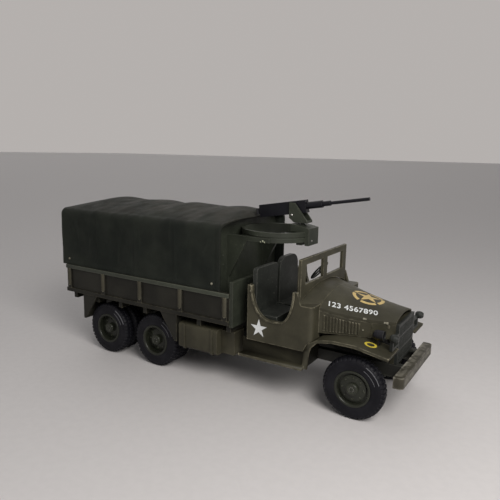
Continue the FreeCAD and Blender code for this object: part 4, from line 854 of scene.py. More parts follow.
    def finish(self, name: str, body: Body, material: bpy.types.Material, slot: str,
               sharper: float = 40.0) -> bpy.types.Object:
        """Close the mesh and make it a piece of the model.

        Args:
            name: The piece's name.
            body: The rigid body that it rides on.
            material: Its finish.
            slot: The record's material slot that the finish follows; not used.
            sharper: Angle in degrees from which an edge stays sharp.

        Returns:
            The piece.
        """
        bmesh.ops.remove_doubles(self.mesh, verts=self.mesh.verts, dist=TOUCHING)
        bmesh.ops.recalc_face_normals(self.mesh, faces=self.mesh.faces)
        mesh = bpy.data.meshes.new(name)
        self.mesh.to_mesh(mesh)
        self.mesh.free()
        mesh.shade_smooth()
        mesh.set_sharp_from_angle(angle=math.radians(sharper))
        mesh.materials.append(material)
        piece = add_object(name, mesh)
        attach(piece, body.value)
        LOG.info("%s: %d faces", name, len(mesh.polygons))
        return piece


def surface_of(*nodes: str) -> BVHTree:
    """Return the surface of some solids of the frame.

    Args:
        nodes: The nodes' names.

    Returns:
        A tree for casting rays on to it.
    """
    joined = bmesh.new()
    for node in nodes:
        joined.from_mesh(frame["nodes"][node].data)
    tree = BVHTree.FromBMesh(joined)
    joined.free()
    return tree


@dataclass(frozen=True)
class Station:
    """One wheel's place: the middle of its outer face, and the way it looks."""

    x: float
    face_y: float
    side: Side

    AXLE_Z = 9.2 * MM

    @property
    def outward(self) -> Vector:
        """Return the direction from the truck's middle to the wheel's face."""
        return LEFT * self.side.value

    @staticmethod
    def ray(angle: float) -> Vector:
        """Return the direction at an angle from straight up towards the truck's front."""
        return Vector((math.sin(angle), 0.0, math.cos(angle)))

    def centre(self, depth: float = 0.0) -> Vector:
        """Return the point on the axle line at a depth behind the outer face."""
        return Vector((self.x, self.side.value * (self.face_y - depth), self.AXLE_Z))


@dataclass
class Tyre:
    """A vinyl tyre: a rounded carcass with two rows of cross lugs and plain bead arcs.

    The profiles are pairs of radius and distance out of the side face, in millimetres.
    """

    width: float = 4.2 * MM
    steps: int = 80
    half_profile: Profile = (
        (5.14, -0.62), (5.3, -0.24), (5.62, -0.06), (6.05, -0.02), (6.35, -0.1), (6.75, -0.04),
        (7.5, -0.03), (8.0, -0.12), (8.4, -0.36), (8.74, -0.72), (8.92, -1.1))
    lugs: int = 40
    lug_half: float = 0.5 * MM
    lug_edge: float = 0.1 * MM
    lug_profile: Profile = (
        (8.2, -0.3), (8.38, -0.16), (8.84, -0.4), (9.13, -0.78), (9.19, -1.15),
        (9.19, -2.02), (8.7, -2.02), (8.65, -1.0), (8.35, -0.6))
    arc_radii: tuple[float, float] = (6.95 * MM, 8.2 * MM)
    arc_profile: Profile = ((-0.09, -0.24), (-0.05, 0.04), (0.05, 0.04), (0.09, -0.24))
    arc_start: float = math.radians(27)
    arc_sweep: float = math.radians(42)
    arc_steps: int = 18

    def lug(self, shape: Shape, place: Station, depth: float, flipped: bool) -> None:
        """Add one row of lugs.

        Args:
            shape: The mesh.
            place: The tyre's place.
            depth: Depth of the row's side face behind the wheel's outer face.
            flipped: Whether the row stands on the tyre's inner side.
        """
        sign = -1.0 if flipped else 1.0
        centre = place.centre(depth)
        spread = math.pi / self.lugs if flipped else 0.0
        up = Matrix.Rotation(spread, 3, place.outward) @ UP
        across = up.cross(place.outward)
        base = [centre + up * radius * MM + place.outward * sign * distance * MM
                - across * self.lug_half for radius, distance in self.lug_profile]
        before = set(shape.mesh.verts)
        shape.plate(base, across * 2 * self.lug_half, self.lug_edge)
        shape.repeat_round(before, centre, place.outward, self.lugs)

    def arcs(self, shape: Shape, place: Station) -> None:
        """Add the raised arcs on the outer sidewall, painted pale as a highlight.

        Args:
            shape: The mesh.
            place: The tyre's place.
        """
        for radius in self.arc_radii:
            outline = [(radius + across, distance)
                       for across, distance in in_metres(self.arc_profile)]
            shape.turned(outline, place.centre(), place.outward, self.arc_steps, True,
                         place.ray(self.arc_start), place.side.value * self.arc_sweep)

    def build(self, shape: Shape, place: Station, depth: float = 0.0) -> None:
        """Add the whole tyre.

        Args:
            shape: The mesh.
            place: The wheel's place.
            depth: Depth of the tyre's side face behind the wheel's outer face.
        """
        half = in_metres(self.half_profile)
        back = [(radius, -self.width - distance) for radius, distance in reversed(half)]
        shape.turned(half + back, place.centre(depth), place.outward, self.steps, True)
        self.lug(shape, place, depth, False)
        self.lug(shape, place, depth + self.width, True)


@dataclass
class Hub:
    """What the solid wheel lacks: a raised disc with bolts, a wide lip and a stepped boss.

    The profiles are pairs of radius and distance out of what they stand on, in millimetres.
    """

    disc_rise: float = 0.5 * MM
    disc: Profile = ((1.3, 0.0), (3.75, 0.0), (3.95, -0.12), (4.02, -0.6), (1.3, -0.6))
    bolts: int = 8
    bolt_ring: float = 3.15 * MM
    bolt: Profile = ((0.0, 0.3), (0.15, 0.27), (0.24, 0.12), (0.24, -0.1))
    boss: Profile = ((0.0, 0.2), (0.35, 0.17), (0.62, 0.02), (0.66, -0.12))
    collar: Profile = ((0.95, -0.05), (1.0, 0.1), (1.35, 0.12), (1.62, 0.0), (1.78, -0.3),
                       (1.6, -0.4))
    lip: Profile = ((4.56, -0.9), (4.6, -0.3), (4.76, -0.06), (4.98, 0.04), (5.22, 0.05),
                    (5.38, -0.06), (5.42, -0.3), (5.1, -0.8))

    def build(self, shape: Shape, place: Station, dish: float, hub_length: float) -> None:
        """Add the wheel's small forms.

        Args:
            shape: The mesh.
            place: The wheel's place.
            dish: Depth of the disc behind the wheel's outer face.
            hub_length: Length of the hub that stands on the disc.
        """
        out = place.outward
        face = place.centre(dish - self.disc_rise)
        shape.turned(in_metres(self.disc), face, out, 64, True)
        before = set(shape.mesh.verts)
        shape.turned(in_metres(self.bolt), face + AHEAD * self.bolt_ring, out, 8)
        shape.repeat_round(before, face, out, self.bolts)
        tip = place.centre(dish - hub_length)
        shape.turned(in_metres(self.boss), tip, out, 24)
        shape.turned(in_metres(self.collar), tip, out, 32, True)
        shape.turned(in_metres(self.lip), place.centre(), out, 72, True)


@dataclass(frozen=True)
class Axle:
    """What differs from axle to axle."""

    body: Body
    x: float
    face_y: float = 20.0 * MM
    twin: bool = True
    dish: float = 2.3 * MM
    hub_length: float = 1.9 * MM


class Wheels:
    """All ten tyres and the small forms of their six wheels."""

    TWIN_STEP = 5.2 * MM
    AXLES = (Axle(Body.FRONT_WHEELS, 50.9 * MM, 18.3 * MM, False, 1.3 * MM, 1.5 * MM),
             Axle(Body.MIDDLE_WHEELS, -20.5 * MM), Axle(Body.REAR_WHEELS, -43.1 * MM))

    def build(self, finishes: Finishes) -> None:
        """Make the tyres and hub details of every axle.

        Args:
            finishes: The model's finishes.
        """
        tyre, hub = Tyre(), Hub()
        for axle in self.AXLES:
            rubber, metal, arcs = Shape(), Shape(), Shape()
            for side in Side:
                place = Station(axle.x, axle.face_y, side)
                tyre.build(rubber, place)
                tyre.arcs(arcs, place)
                if axle.twin:
                    tyre.build(rubber, place, self.TWIN_STEP)
                hub.build(metal, place, axle.dish, axle.hub_length)
            row = axle.body.value.removesuffix("_wheels")
            tyres = rubber.finish(f"{row}_lugged_tyres", axle.body, finishes.tyre,
                                  "tyre_rubber", sharper=30.0)
            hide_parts(f"{row}_tyres")
            metal.finish(f"{row}_wheel_forms", axle.body, finishes.hub, "wheel_olive")
            arcs.finish(f"{row}_tyre_arcs", axle.body, finishes.rubbed_vinyl, "tyre_rubber")


@dataclass
class CanvasCover:
    """The moulded canvas cover: hooped roof, drawn sides, hems, seams and a rear doorway.

    All its sizes are millimetres. A hoop, dent or stitch gives its height or depth, how far
    beside its line it lies, and its width. A ripple gives its height, its turns per millimetre
    along two axes and, on the roof, its start. A fold gives X and Z of its two ends.
    """

    LAST_ROW = 0.4999

    front: float = 7.4
    rear: float = -64.6
    half: float = 21.1
    foot: float = 31.3
    shoulder: float = 50.0
    corner: float = 2.4
    crown: float = 3.3
    sag: float = 0.8
    front_drop: float = 2.0
    front_roll: float = 3.6
    rear_drop: float = 1.7
    rear_roll: float = 12.0
    bays: int = 4
    skin: float = 0.75
    door_half: float = 12.5
    door_top: float = 45.8
    along: int = 168
    around: int = 150
    down: int = 14
    rear_bulge: float = 0.18
    door_hem: float = 0.1
    door_hem_from: float = 0.9
    drawn: float = 0.3
    wall_end: float = 3.0
    hoop: tuple[float, float, float] = (0.1, 1.6, 0.8)
    roof_ripples: tuple[tuple[float, float, float, float], ...] = (
        (0.09, 0.55, 0.21, 0.0), (0.05, 1.3, -0.35, 1.0))
    wall_ripple: tuple[float, float, float] = (0.05, 0.7, 0.5)
    raised: float = 0.16
    highest: float = 0.28
    seam_half: float = 0.4
    seam_fade: float = 0.12
    seams: tuple[float, ...] = (-10.5, -28.0, -45.9)
    fold_width: float = 0.5
    fold_taper: float = 0.6
    dent: tuple[float, float, float] = (0.6, 0.9, 0.6)
    folds: tuple[tuple[float, float, float, float], ...] = (
        (-32.9, 48.2, -38.9, 33.3), (-4.4, 49.5, -8.6, 40.5), (-18.5, 49.5, -23.2, 41.0),
        (-47.3, 49.3, -51.8, 40.0), (-60.9, 49.0, -57.0, 40.5), (3.6, 48.6, -0.5, 41.0))
    foot_hem: float = 1.3
    front_hem: float = 1.5
    rear_hem: float = 1.1
    hem_fade: float = 0.2
    stitch: tuple[float, float, float] = (0.2, 1.08, 0.14)
    hem_scale: float = 1.4
    studs: tuple[tuple[float, float], ...] = ((4.4, 33.5), (-61.2, 33.5))
    stud: Profile = ((0.0, 0.3), (0.22, 0.26), (0.4, 0.06), (0.4, -0.5))
    stud_proud: float = 0.1

    @property
    def bay(self) -> float:
        """Return the length of one bay."""
        return (self.front - self.rear) / self.bays

    @property
    def wall(self) -> float:
        """Return the height of a side wall."""
        return self.shoulder - self.foot

    def outline(self, share: float, x: float) -> tuple[Vector, Vector, float]:
        """Return a point on the cover's smooth form, its outward normal and its path length.

        Args:
            share: Place from the right foot over the roof to the left foot, 0 to 1.
            x: Place along the truck in millimetres.

        Returns:
            The point and normal in millimetres, and how far it is along the outline.
        """
        bend = self.corner * math.pi / 2
        flat = self.half - self.corner
        roll = max(0.0, 1.0 - (self.front - x) / self.front_roll)
        tail = max(0.0, 1.0 - (x - self.rear) / self.rear_roll)
        rise = (self.crown - self.sag * self.swing(x) - self.front_drop * roll ** 2
                - self.rear_drop * tail ** 2)
        radius = (flat ** 2 + rise ** 2) / (2 * rise)
        spread = math.asin(flat / radius)
        whole = 2 * self.wall + 2 * bend + 2 * radius * spread
        reach = share * whole
        mirrored = reach > whole / 2
        run = whole - reach if mirrored else reach
        if run < self.wall:
            point, normal = Vector((x, -self.half, self.foot + run)), Vector((0, -1, 0))
        elif run < self.wall + bend:
            angle = (run - self.wall) / self.corner
            point = Vector((x, -flat - self.corner * math.cos(angle),
                            self.shoulder + self.corner * math.sin(angle)))
            normal = Vector((0, -math.cos(angle), math.sin(angle)))
        else:
            angle = spread - (run - self.wall - bend) / radius
            top = self.shoulder + self.corner + rise - radius
            point = Vector((x, -radius * math.sin(angle), top + radius * math.cos(angle)))
            normal = Vector((0, -math.sin(angle), math.cos(angle)))
        if mirrored:
            point.y, normal.y = -point.y, -normal.y
        return point, normal, run

    def swing(self, x: float) -> float:
        """Return 1 where the cloth is tied down between two bays and 0 midway in a bay."""
        return math.cos(math.pi * (self.front - x) / self.bay) ** 2

    @staticmethod
    def ridge(distance: float, width: float) -> float:
        """Return a rounded ridge that is 1 at no distance and fades over a width."""
        return math.exp(-(distance / width) ** 2)

    def relief(self, point: Vector, run: float) -> float:
        """Return how far the cloth stands out of its smooth form, in millimetres.

        Args:
            point: The place on the smooth form.
            run: Its distance along the outline from the nearer foot.

        Returns:
            The height of hems, seams, hoops and folds there.
        """
        x, y, z = point
        on_wall = min(1.0, max(0.0, (self.wall - run) / self.wall_end + 0.5))
        on_roof = 1 - on_wall
        height = -self.drawn * (1 - self.swing(x)) * on_wall * math.sin(
            math.pi * min(1.0, run / self.wall))
        to_hoop = (self.front - x) / self.bay
        size, away, width = self.hoop
        height += size * on_roof * self.ridge((to_hoop - round(to_hoop)) * self.bay - away, width)
        for size, along, across, phase in self.roof_ripples:
            height += size * math.sin(along * x + across * y + phase) * on_roof
        size, along, up = self.wall_ripple
        height += size * math.sin(along * x + up * z) * on_wall
        for seam in self.seams:
            away = max(0.0, abs(x - seam) - self.seam_half)
            height += self.raised * on_wall * self.ridge(away, self.seam_fade)
        depth, beside, width = self.dent
        for x0, z0, x1, z1 in self.folds:
            share = (z0 - z) / (z0 - z1)
            if 0.0 < share < 1.0:
                away = x - (x0 + (x1 - x0) * share)
                ridge = self.ridge(away, self.fold_width)
                dent = depth * self.ridge(away - beside, width)
                long = math.sin(math.pi * share) ** self.fold_taper
                height += self.raised * long * on_wall * (ridge - dent)
        hem = min(run / self.foot_hem, (self.front - x) / self.front_hem,
                  (x - self.rear) / self.rear_hem)
        past = max(0.0, hem - 1.0) * self.hem_scale
        height += self.raised * self.ridge(past, self.hem_fade)
        depth, place, width = self.stitch
        height -= depth * self.ridge((hem - place) * self.hem_scale, width)
        return min(height, self.highest)

    def rear_wall(self, shape: Shape, edge: list[bmesh.types.BMVert]) -> None:
        """Close the rear end down to its doorway.

        Args:
            shape: The mesh.
            edge: The skin's rear vertices from the right foot to the left foot.
        """
        door = []
        height = self.door_top - self.foot
        whole = 2 * height + 2 * self.door_half
        for number in range(len(edge)):
            reach = whole * number / (len(edge) - 1)
            rise = min(reach, height, whole - reach)
            across = min(max(0.0, reach - height), 2 * self.door_half) - self.door_half
            door.append(Vector((self.rear, across, self.foot + rise)) * MM)
        row = edge
        for step in range(1, self.down + 1):
            share = step / self.down
            made = bmesh.ops.extrude_edge_only(
                shape.mesh, edges=[shape.mesh.edges.get(pair) for pair in zip(row, row[1:])])
            fresh = {item for item in made["geom"] if isinstance(item, bmesh.types.BMVert)}
            row = [next(edge.other_vert(vert) for edge in vert.link_edges
                        if edge.other_vert(vert) in fresh) for vert in row]
            bulge = self.rear_bulge * math.sin(math.pi * share)
            if share > self.door_hem_from:
                bulge -= self.door_hem
            for vert, start, end in zip(row, edge, door):
                flat = Vector((self.rear * MM, start.co.y, start.co.z))
                vert.co = flat.lerp(end, share) + AHEAD * bulge * MM

    def build(self, finishes: Finishes) -> None:
        """Make the cover and its two press studs.

        Args:
            finishes: The model's finishes.
        """
        shape = Shape()
        grid = bmesh.ops.create_grid(shape.mesh, x_segments=self.along, y_segments=self.around,
                                     size=0.5)["verts"]
        rear = sorted((vert for vert in grid if vert.co.x > self.LAST_ROW),
                      key=lambda vert: vert.co.y)
        for vert in grid:
            x = self.front + (self.rear - self.front) * (vert.co.x + 0.5)
            share = vert.co.y + 0.5
            point, normal, run = self.outline(share, x)
            vert.co = (point + normal * self.relief(point, run)) * MM
        self.rear_wall(shape, rear)
        bmesh.ops.recalc_face_normals(shape.mesh, faces=shape.mesh.faces)
        bmesh.ops.solidify(shape.mesh, geom=list(shape.mesh.faces), thickness=self.skin * MM)
        cover = shape.finish("canvas_skin", Body.TRUCK, finishes.canvas, "canvas_green",
                             sharper=50.0)
        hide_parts("canvas_cover")
        studs = Shape()
        for x, z in self.studs:
            studs.turned(in_metres(self.stud), Vector((x, self.half + self.stud_proud, z)) * MM,
                         LEFT, 16)
        studs.mirror_y()
        studs.finish("cover_studs", Body.TRUCK, finishes.rubbed, "canvas_green")


@dataclass
class Fenders:
    """The pressed front fenders, with the thin folded edge of the sheet over each wheel."""

    outer: float = 18.6 * MM
    fold: float = 0.6 * MM
    lip: tuple[float, float] = (0.9 * MM, 2.0 * MM)
    edge: float = 0.85 * MM
    full_at: float = 35.5 * MM
    thin_at: float = 39.0 * MM
    slack: float = 0.01 * MM
    tilt: float = 0.1

    def crest(self, shape: Shape) -> list[Vector]:
        """Return the fender's top outer edge as a line from the nose to the rear.

        Args:
            shape: The fender's mesh.

        Returns:
            The edge's points in order.
        """
        edge = [vert.co.copy() for vert in shape.mesh.verts
                if abs(abs(vert.co.y) - self.outer) < self.slack
                and any(face.normal.z > self.tilt and abs(face.normal.y) < self.tilt
                        for face in vert.link_faces)]
        return sorted(edge, key=lambda point: -point.x)

    @staticmethod
    def nearest(line: list[Vector], place: Vector) -> Vector:
        """Return the point of a line that is nearest to a place, seen from the side.

        Args:
            line: The line's points in order.
            place: The place.

        Returns:
            The nearest point.
        """
        found = []
        for start, end in zip(line, line[1:]):
            run = end - start
            share = (place - start).xz.dot(run.xz) / run.xz.length_squared
            found.append(start + run * min(1.0, max(0.0, share)))
        return min(found, key=lambda point: (point - place).xz.length)

    def thin(self, shape: Shape) -> None:
        """Draw the lip up to the thickness of its folded edge.

        Args:
            shape: The fender's mesh.
        """
        crest = self.crest(shape)
        inner = self.outer - self.fold - self.slack
        folded = [vert for vert in shape.mesh.verts
                  if inner < abs(vert.co.y) < self.outer + self.slack]
        for vert in folded:
            top = self.nearest(crest, vert.co)
            depth = (top - vert.co).xz.length
            if self.lip[0] < depth < self.lip[1]:
                share = min(1.0, max(0.0, (top.x - self.full_at) / (self.thin_at - self.full_at)))
                keep = 1.0 - share * (1.0 - self.edge / depth)
                vert.co.x = top.x + (vert.co.x - top.x) * keep
                vert.co.z = top.z + (vert.co.z - top.z) * keep

    def build(self, finishes: Finishes) -> None:
        """Make both fenders.

        Args:
            finishes: The model's finishes.
        """
        for side in Side:
            node = f"fender_{side.name.lower()}"
            shape = Shape()
            shape.mesh.from_mesh(frame["nodes"][node].data)
            bmesh.ops.remove_doubles(shape.mesh, verts=shape.mesh.verts, dist=TOUCHING)
            self.thin(shape)
            fender = shape.finish(f"folded_{node}", Body.TRUCK, finishes.cab, "olive_body")
            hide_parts(node)


@dataclass
class Fittings:
    """Small cast or pushed-in fittings: hooks, ribs, catches, bolts and pin heads.

    A head's place is where the line to it starts, with its radius, in millimetres. A catch's
    row gives X, Z, length and height in millimetres. The rail's strip gives how far it reaches
    into the panel and out of it.
    """

    posts: int = 5
    post_inset: float = 1.6 * MM
    hook: float = 0.42 * MM
    hook_rise: float = 1.3 * MM
    rib: float = 0.95 * MM
    rib_depth: float = 0.55 * MM
    rail: float = 1.4 * MM
    strip: tuple[float, float] = (0.1 * MM, 0.14 * MM)
    edge: float = 0.12 * MM
    catches: tuple[tuple[float, float, float, float], ...] = (
        (50.9, 27.9, 1.1, 0.5), (50.6, 24.5, 0.4, 0.4), (56.6, 27.2, 1.3, 0.7),
        (57.3, 26.2, 0.7, 1.0))
    catch_depth: float = 0.5
    clear: float = 30.0
    rivets: Places = ((17.3, 30.0, 34.4, 0.272), (17.6, 30.0, 32.8, 0.272))
    bolts: Places = ((60.0, 14.3, 41.4, 0.34), (60.0, 14.3, 38.4, 0.34))
    screw: Places = ((60.0, -1.2, 47.0, 0.34),)
    scars: Places = ((17.3, -40.0, 47.2, 0.42), (16.5, -40.0, 46.9, 0.26),
                     (17.9, -40.0, 46.9, 0.3))
    scar_sink: float = 0.4
    pin: tuple[float, float] = (21.9 * MM, 54.8125 * MM)
    pin_radius: float = 0.42 * MM
    dome: Profile = ((0.0, 0.7), (0.5, 0.6), (0.95, 0.2), (1.0, -0.4))

    def stud(self, shape: Shape, foot: Vector, out: Vector, radius: float) -> None:
        """Add one domed head.

        Args:
            shape: The mesh.
            foot: The middle of its foot.
            out: The direction in which it stands out.
            radius: Its radius.
        """
        shape.turned(in_metres(self.dome, radius), foot, out, 12)

    @staticmethod
    def touch(surface: BVHTree, start: Vector, way: Vector) -> Vector:
        """Return where a line first meets a surface.

        Args:
            surface: The surface.
            start: Where the line starts.
            way: The line's direction.

        Returns:
            The point.

        Raises:
            ValueError: If the line misses the surface.
        """
        hit = surface.ray_cast(start, way)[0]
        if hit is None:
            raise ValueError(f"nothing to stand on at {start}")
        return hit

    def bed_posts(self, finishes: Finishes) -> None:
        """Add a lashing hook and a rounded rib on each post of the bed.

        Args:
            finishes: The model's finishes.
        """
        hooks, ribs = Shape(), Shape()
        low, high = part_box("bed_side_left")
        for number in range(self.posts):
            share = number / (self.posts - 1)
            x = high[0] - self.post_inset + share * (low[0] - high[0] + 2 * self.post_inset)
            foot = Vector((x, high[1], low[2] + self.hook_rise))
            self.stud(hooks, foot, LEFT, self.hook)
            middle = high[1] - self.rib_depth
            ribs.rod(Vector((x, middle, foot.z)), Vector((x, middle, high[2] - self.rail)),
                     self.rib, 20)
        hooks.mirror_y()
        hooks.finish("bed_hooks", Body.TRUCK, finishes.rubbed, "olive_body")
        ribs.mirror_y()
        # The ribs' paler paint is a painted highlight.
        ribs.finish("bed_ribs", Body.TRUCK, finishes.post, "olive_body")

    def bed_rails(self, finishes: Finishes) -> None:
        """Add the dark strip along the bed's top rail, below the cover.

        Args:
            finishes: The model's finishes.
        """
        shape = Shape()
        low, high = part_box("bed_side_left")
        root, rise = self.strip
        shape.block(Vector((low[0], high[1] - root, high[2] - self.rail)),
                    Vector((high[0], high[1] + rise, high[2])), self.edge)
        shape.mirror_y()
        shape.finish("bed_rail_strips", Body.TRUCK, finishes.mount, "mount_green")

    def bonnet_catches(self, finishes: Finishes) -> None:
        """Add the catches that hold the bonnet to the panels below it.

        Args:
            finishes: The model's finishes.
        """
        shape = Shape()
        side = surface_of("bonnet_side_left", "radiator_shell", "bonnet")
        for x, z, length, height in self.catches:
            foot = self.touch(side, Vector((x, self.clear, z)) * MM, -LEFT)
            half = Vector((length, self.catch_depth, height)) * MM / 2
            shape.block(foot - half, foot + half, self.edge)
        shape.mirror_y()
        shape.finish("bonnet_catches", Body.TRUCK, finishes.rubbed, "olive_body")

    def heads(self, nodes: Sequence[str], out: Vector, places: Places, sink: float) -> Shape:
        """Return domed heads that stand on some solids.

        Args:
            nodes: The solids' names.
            out: The direction in which the heads stand out.
            places: Where the line to each head starts, and its radius.
            sink: Share of its radius by which a head is sunk.

        Returns:
            The mesh with the heads.
        """
        shape = Shape()
        surface = surface_of(*nodes)
        for *start, radius in places:
            foot = self.touch(surface, Vector(start) * MM, -out)
            self.stud(shape, foot - out * sink * radius * MM, out, radius * MM)
        return shape

    def build(self, finishes: Finishes) -> None:
        """Add every fitting.

        Args:
            finishes: The model's finishes.
        """
        self.bed_posts(finishes)
        self.bed_rails(finishes)
        self.bonnet_catches(finishes)
        rivets = self.heads(["cab_tub"], LEFT, self.rivets, 0.0)
        rivets.mirror_y()
        rivets.finish("cab_rivets", Body.TRUCK, finishes.rubbed, "olive_body")
        mount = ["mount_bulkhead", "ring_carriage"]
        bolts = self.heads(mount, AHEAD, self.bolts, 0.0)
        bolts.mirror_y()
        bolts.finish("mount_bolts", Body.TRUCK, finishes.mount, "mount_green")
        screw = self.heads(mount, AHEAD, self.screw, 0.0)
        screw.finish("carriage_screw", Body.TRUCK, finishes.steel, "mount_green")
        scars = self.heads(["gun_ring", "mount_bulkhead"], -LEFT, self.scars, self.scar_sink)
        scars.finish("ring_scars", Body.TRUCK, finishes.scar, "mount_green")
        pins = Shape()
        x, z = self.pin
        self.stud(pins, Vector((x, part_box("gun_cradle")[1][1], z)), LEFT, self.pin_radius)
        pins.mirror_y()
        pins.finish("trunnion_heads", Body.GUN, finishes.steel, "gun_black")


@dataclass
class Badges:
    """The printed figures: stars, ring, plain digits and the fender's ring."""

    POINTS = 5
    lift: float = 0.03 * MM
    cell: float = 0.5 * MM
    above: float = 60.0 * MM
    star_waist: float = 0.382
    digits: str = "123 4567890"
    digit_height: float = 1.85 * MM
    digit_share: float = 0.73
    digit_weight: float = 0.022
    digit_space: float = 1.06
    digit_middle: tuple[float, float] = (46.8 * MM, 10.15 * MM)
    digit_run: float = 14.2 * MM
    digit_turn: float = math.radians(19.6)
    bridge: float = 0.07 * MM
    bridge_core: float = 0.06 * MM
    emblem: tuple[float, float] = (48.1 * MM, 0.0)
    emblem_radius: float = 4.88 * MM
    emblem_star: float = 0.765
    emblem_hole: float = 0.785
    emblem_gap: float = 0.2
    emblem_steps: int = 12
    door_star: tuple[float, float, float] = (20.6 * MM, 19.0 * MM, 21.4 * MM)
    door_radius: float = 2.95 * MM
    disc: tuple[float, float] = (54.1 * MM, -13.7 * MM)
    disc_radius: float = 1.75 * MM
    disc_hole: float = 0.62
    disc_steps: int = 40

    def star(self, centre: Vector, radius: float, up: Vector, across: Vector) -> list[Vector]:
        """Return the outline of a five-pointed star.

        Args:
            centre: Its middle.
            radius: Reach of its points.
            up: Direction of its first point.
            across: Direction at a right angle to that.

        Returns:
            Its ten corners.
        """
        corners = []
        for number in range(2 * self.POINTS):
            reach = radius if number % 2 == 0 else radius * self.star_waist
            corners.append(centre + self.ray(math.pi * number / self.POINTS, up, across) * reach)
        return corners

    @staticmethod
    def ray(angle: float, up: Vector, across: Vector) -> Vector:
        """Return the direction at an angle between two directions."""
        return up * math.cos(angle) + across * math.sin(angle)

    @staticmethod
    def face(shape: Shape, corners: Sequence[Vector]) -> None:
        """Add one flat face.

        Args:
            shape: The mesh.
            corners: The face's corners in order.
        """
        shape.mesh.faces.new([shape.mesh.verts.new(corner) for corner in corners])

    def press(self, shape: Shape, surface: BVHTree, name: str, ink: bpy.types.Material) -> None:
        """Lay a flat figure on a surface from above, as thick as a print.

        Args:
            shape: The figure, above the surface.
            surface: The surface.
            name: The piece's name.
            ink: Its finish.
        """
        shape.cut_into_cells(self.cell)
        shape.lay_on(surface, -UP, self.lift)
        for face in shape.mesh.faces:
            if face.normal.z < 0:
                face.normal_flip()
        bmesh.ops.solidify(shape.mesh, geom=list(shape.mesh.faces), thickness=self.lift)
        shape.finish(name, Body.TRUCK, ink, "olive_body")

    def bonnet_emblem(self, finishes: Finishes, bonnet: BVHTree) -> None:
        """Print the star in its broken ring on the bonnet.

        Args:
            finishes: The model's finishes.
            bonnet: The bonnet's surface.
        """
        shape = Shape()
        centre = Vector((*self.emblem, self.above))
        outer = self.emblem_radius
        self.face(shape, self.star(centre, outer * self.emblem_star, -AHEAD, LEFT))
        steps = range(self.emblem_steps + 1)
        sweep = math.tau / self.POINTS - self.emblem_gap
        for number in range(self.POINTS):
            start = math.tau * number / self.POINTS + self.emblem_gap / 2
            rays = [self.ray(start + sweep * step / self.emblem_steps, -AHEAD, LEFT)
                    for step in steps]
            inner = [centre + ray * outer * self.emblem_hole for ray in reversed(rays)]
            self.face(shape, [centre + ray * outer for ray in rays] + inner)
        self.press(shape, bonnet, "bonnet_emblem", finishes.yellow)

    def bonnet_digits(self, finishes: Finishes, bonnet: BVHTree) -> None:
        """Print the plain digits along both edges of the bonnet.

        Args:
            finishes: The model's finishes.
            bonnet: The bonnet's surface.
        """
        for side in Side:
            curve = bpy.data.curves.new("digits", "FONT")
            curve.body = self.digits
            curve.size = self.digit_height / self.digit_share
            curve.offset = self.digit_height * self.digit_weight
            curve.space_character = self.digit_space
            curve.align_x = "CENTER"
            maker = bpy.data.objects.new("digits", curve)
            shape = Shape()
            shape.mesh.from_mesh(maker.to_mesh())
            maker.to_mesh_clear()
            bpy.data.objects.remove(maker)
            reach = [vert.co.x for vert in shape.mesh.verts]
            stretch = self.digit_run / (max(reach) - min(reach))
            x, y = self.digit_middle
            turn = Matrix.Rotation(math.pi if side is Side.LEFT else 0.0, 4, "Z")
            place = (Matrix.Translation(Vector((x, side.value * y, self.above)))
                     @ Matrix.Rotation(-self.digit_turn * side.value, 4, "Z") @ turn
                     @ Matrix.Scale(stretch, 4, AHEAD))
            bmesh.ops.transform(shape.mesh, matrix=place, verts=shape.mesh.verts)
            self.stencil(shape, place)
            self.press(shape, bonnet, f"bonnet_digits_{side.name.lower()}", finishes.white)

    def stencil(self, shape: Shape, place: Matrix) -> None:
        """Cut the narrow bridge of a stencil through the digits.

        Args:
            shape: The digits.
            place: Their place on the truck.
        """
        across = (place.to_3x3() @ LEFT).normalized()
        middle = place @ Vector((0.0, self.digit_height / 2, 0.0))
        for offset in (-self.bridge, self.bridge):
            bmesh.ops.bisect_plane(shape.mesh, geom=shape.everything,
                                   plane_co=middle + across * offset, plane_no=across)
        gone = [face for face in shape.mesh.faces
                if abs((face.calc_center_median() - middle).dot(across)) < self.bridge_core]
        bmesh.ops.delete(shape.mesh, geom=gone, context="FACES")

    def door_stars(self, finishes: Finishes) -> None:
        """Print a white star on each cab side.

        Args:
            finishes: The model's finishes.
        """
        x, y, z = self.door_star
        for side in Side:
            shape = Shape()
            corners = self.star(Vector((x, side.value * y, z)), self.door_radius, UP, AHEAD)
            shape.plate(corners, LEFT * side.value * self.lift)
            shape.finish(f"door_star_{side.name.lower()}", Body.TRUCK, finishes.white,
                         "olive_body")

    def fender_ring(self, finishes: Finishes, fender: BVHTree) -> None:
        """Print the yellow ring on the right fender.

        Args:
            finishes: The model's finishes.
            fender: The fender's surface.
        """
        shape = Shape()
        centre = Vector((*self.disc, self.above))
        edges = []
        for radius in (self.disc_radius, self.disc_radius * self.disc_hole):
            rim = [shape.mesh.verts.new(
                centre + self.ray(math.tau * step / self.disc_steps, AHEAD, LEFT) * radius)
                for step in range(self.disc_steps)]
            edges += [shape.mesh.edges.new(pair) for pair in zip(rim, rim[1:] + rim[:1])]
        bmesh.ops.bridge_loops(shape.mesh, edges=edges)
        self.press(shape, fender, "fender_ring", finishes.disc_yellow)

    def build(self, finishes: Finishes) -> None:
        """Print every figure.

        Args:
            finishes: The model's finishes.
        """
        bonnet = surface_of("bonnet")
        self.bonnet_emblem(finishes, bonnet)
        self.bonnet_digits(finishes, bonnet)
        self.door_stars(finishes)
        self.fender_ring(finishes, surface_of("fender_right"))


class Lamp(Enum):
    """The kinds of lamp."""

    PANEL = "AREA"
    SUN = "SUN"


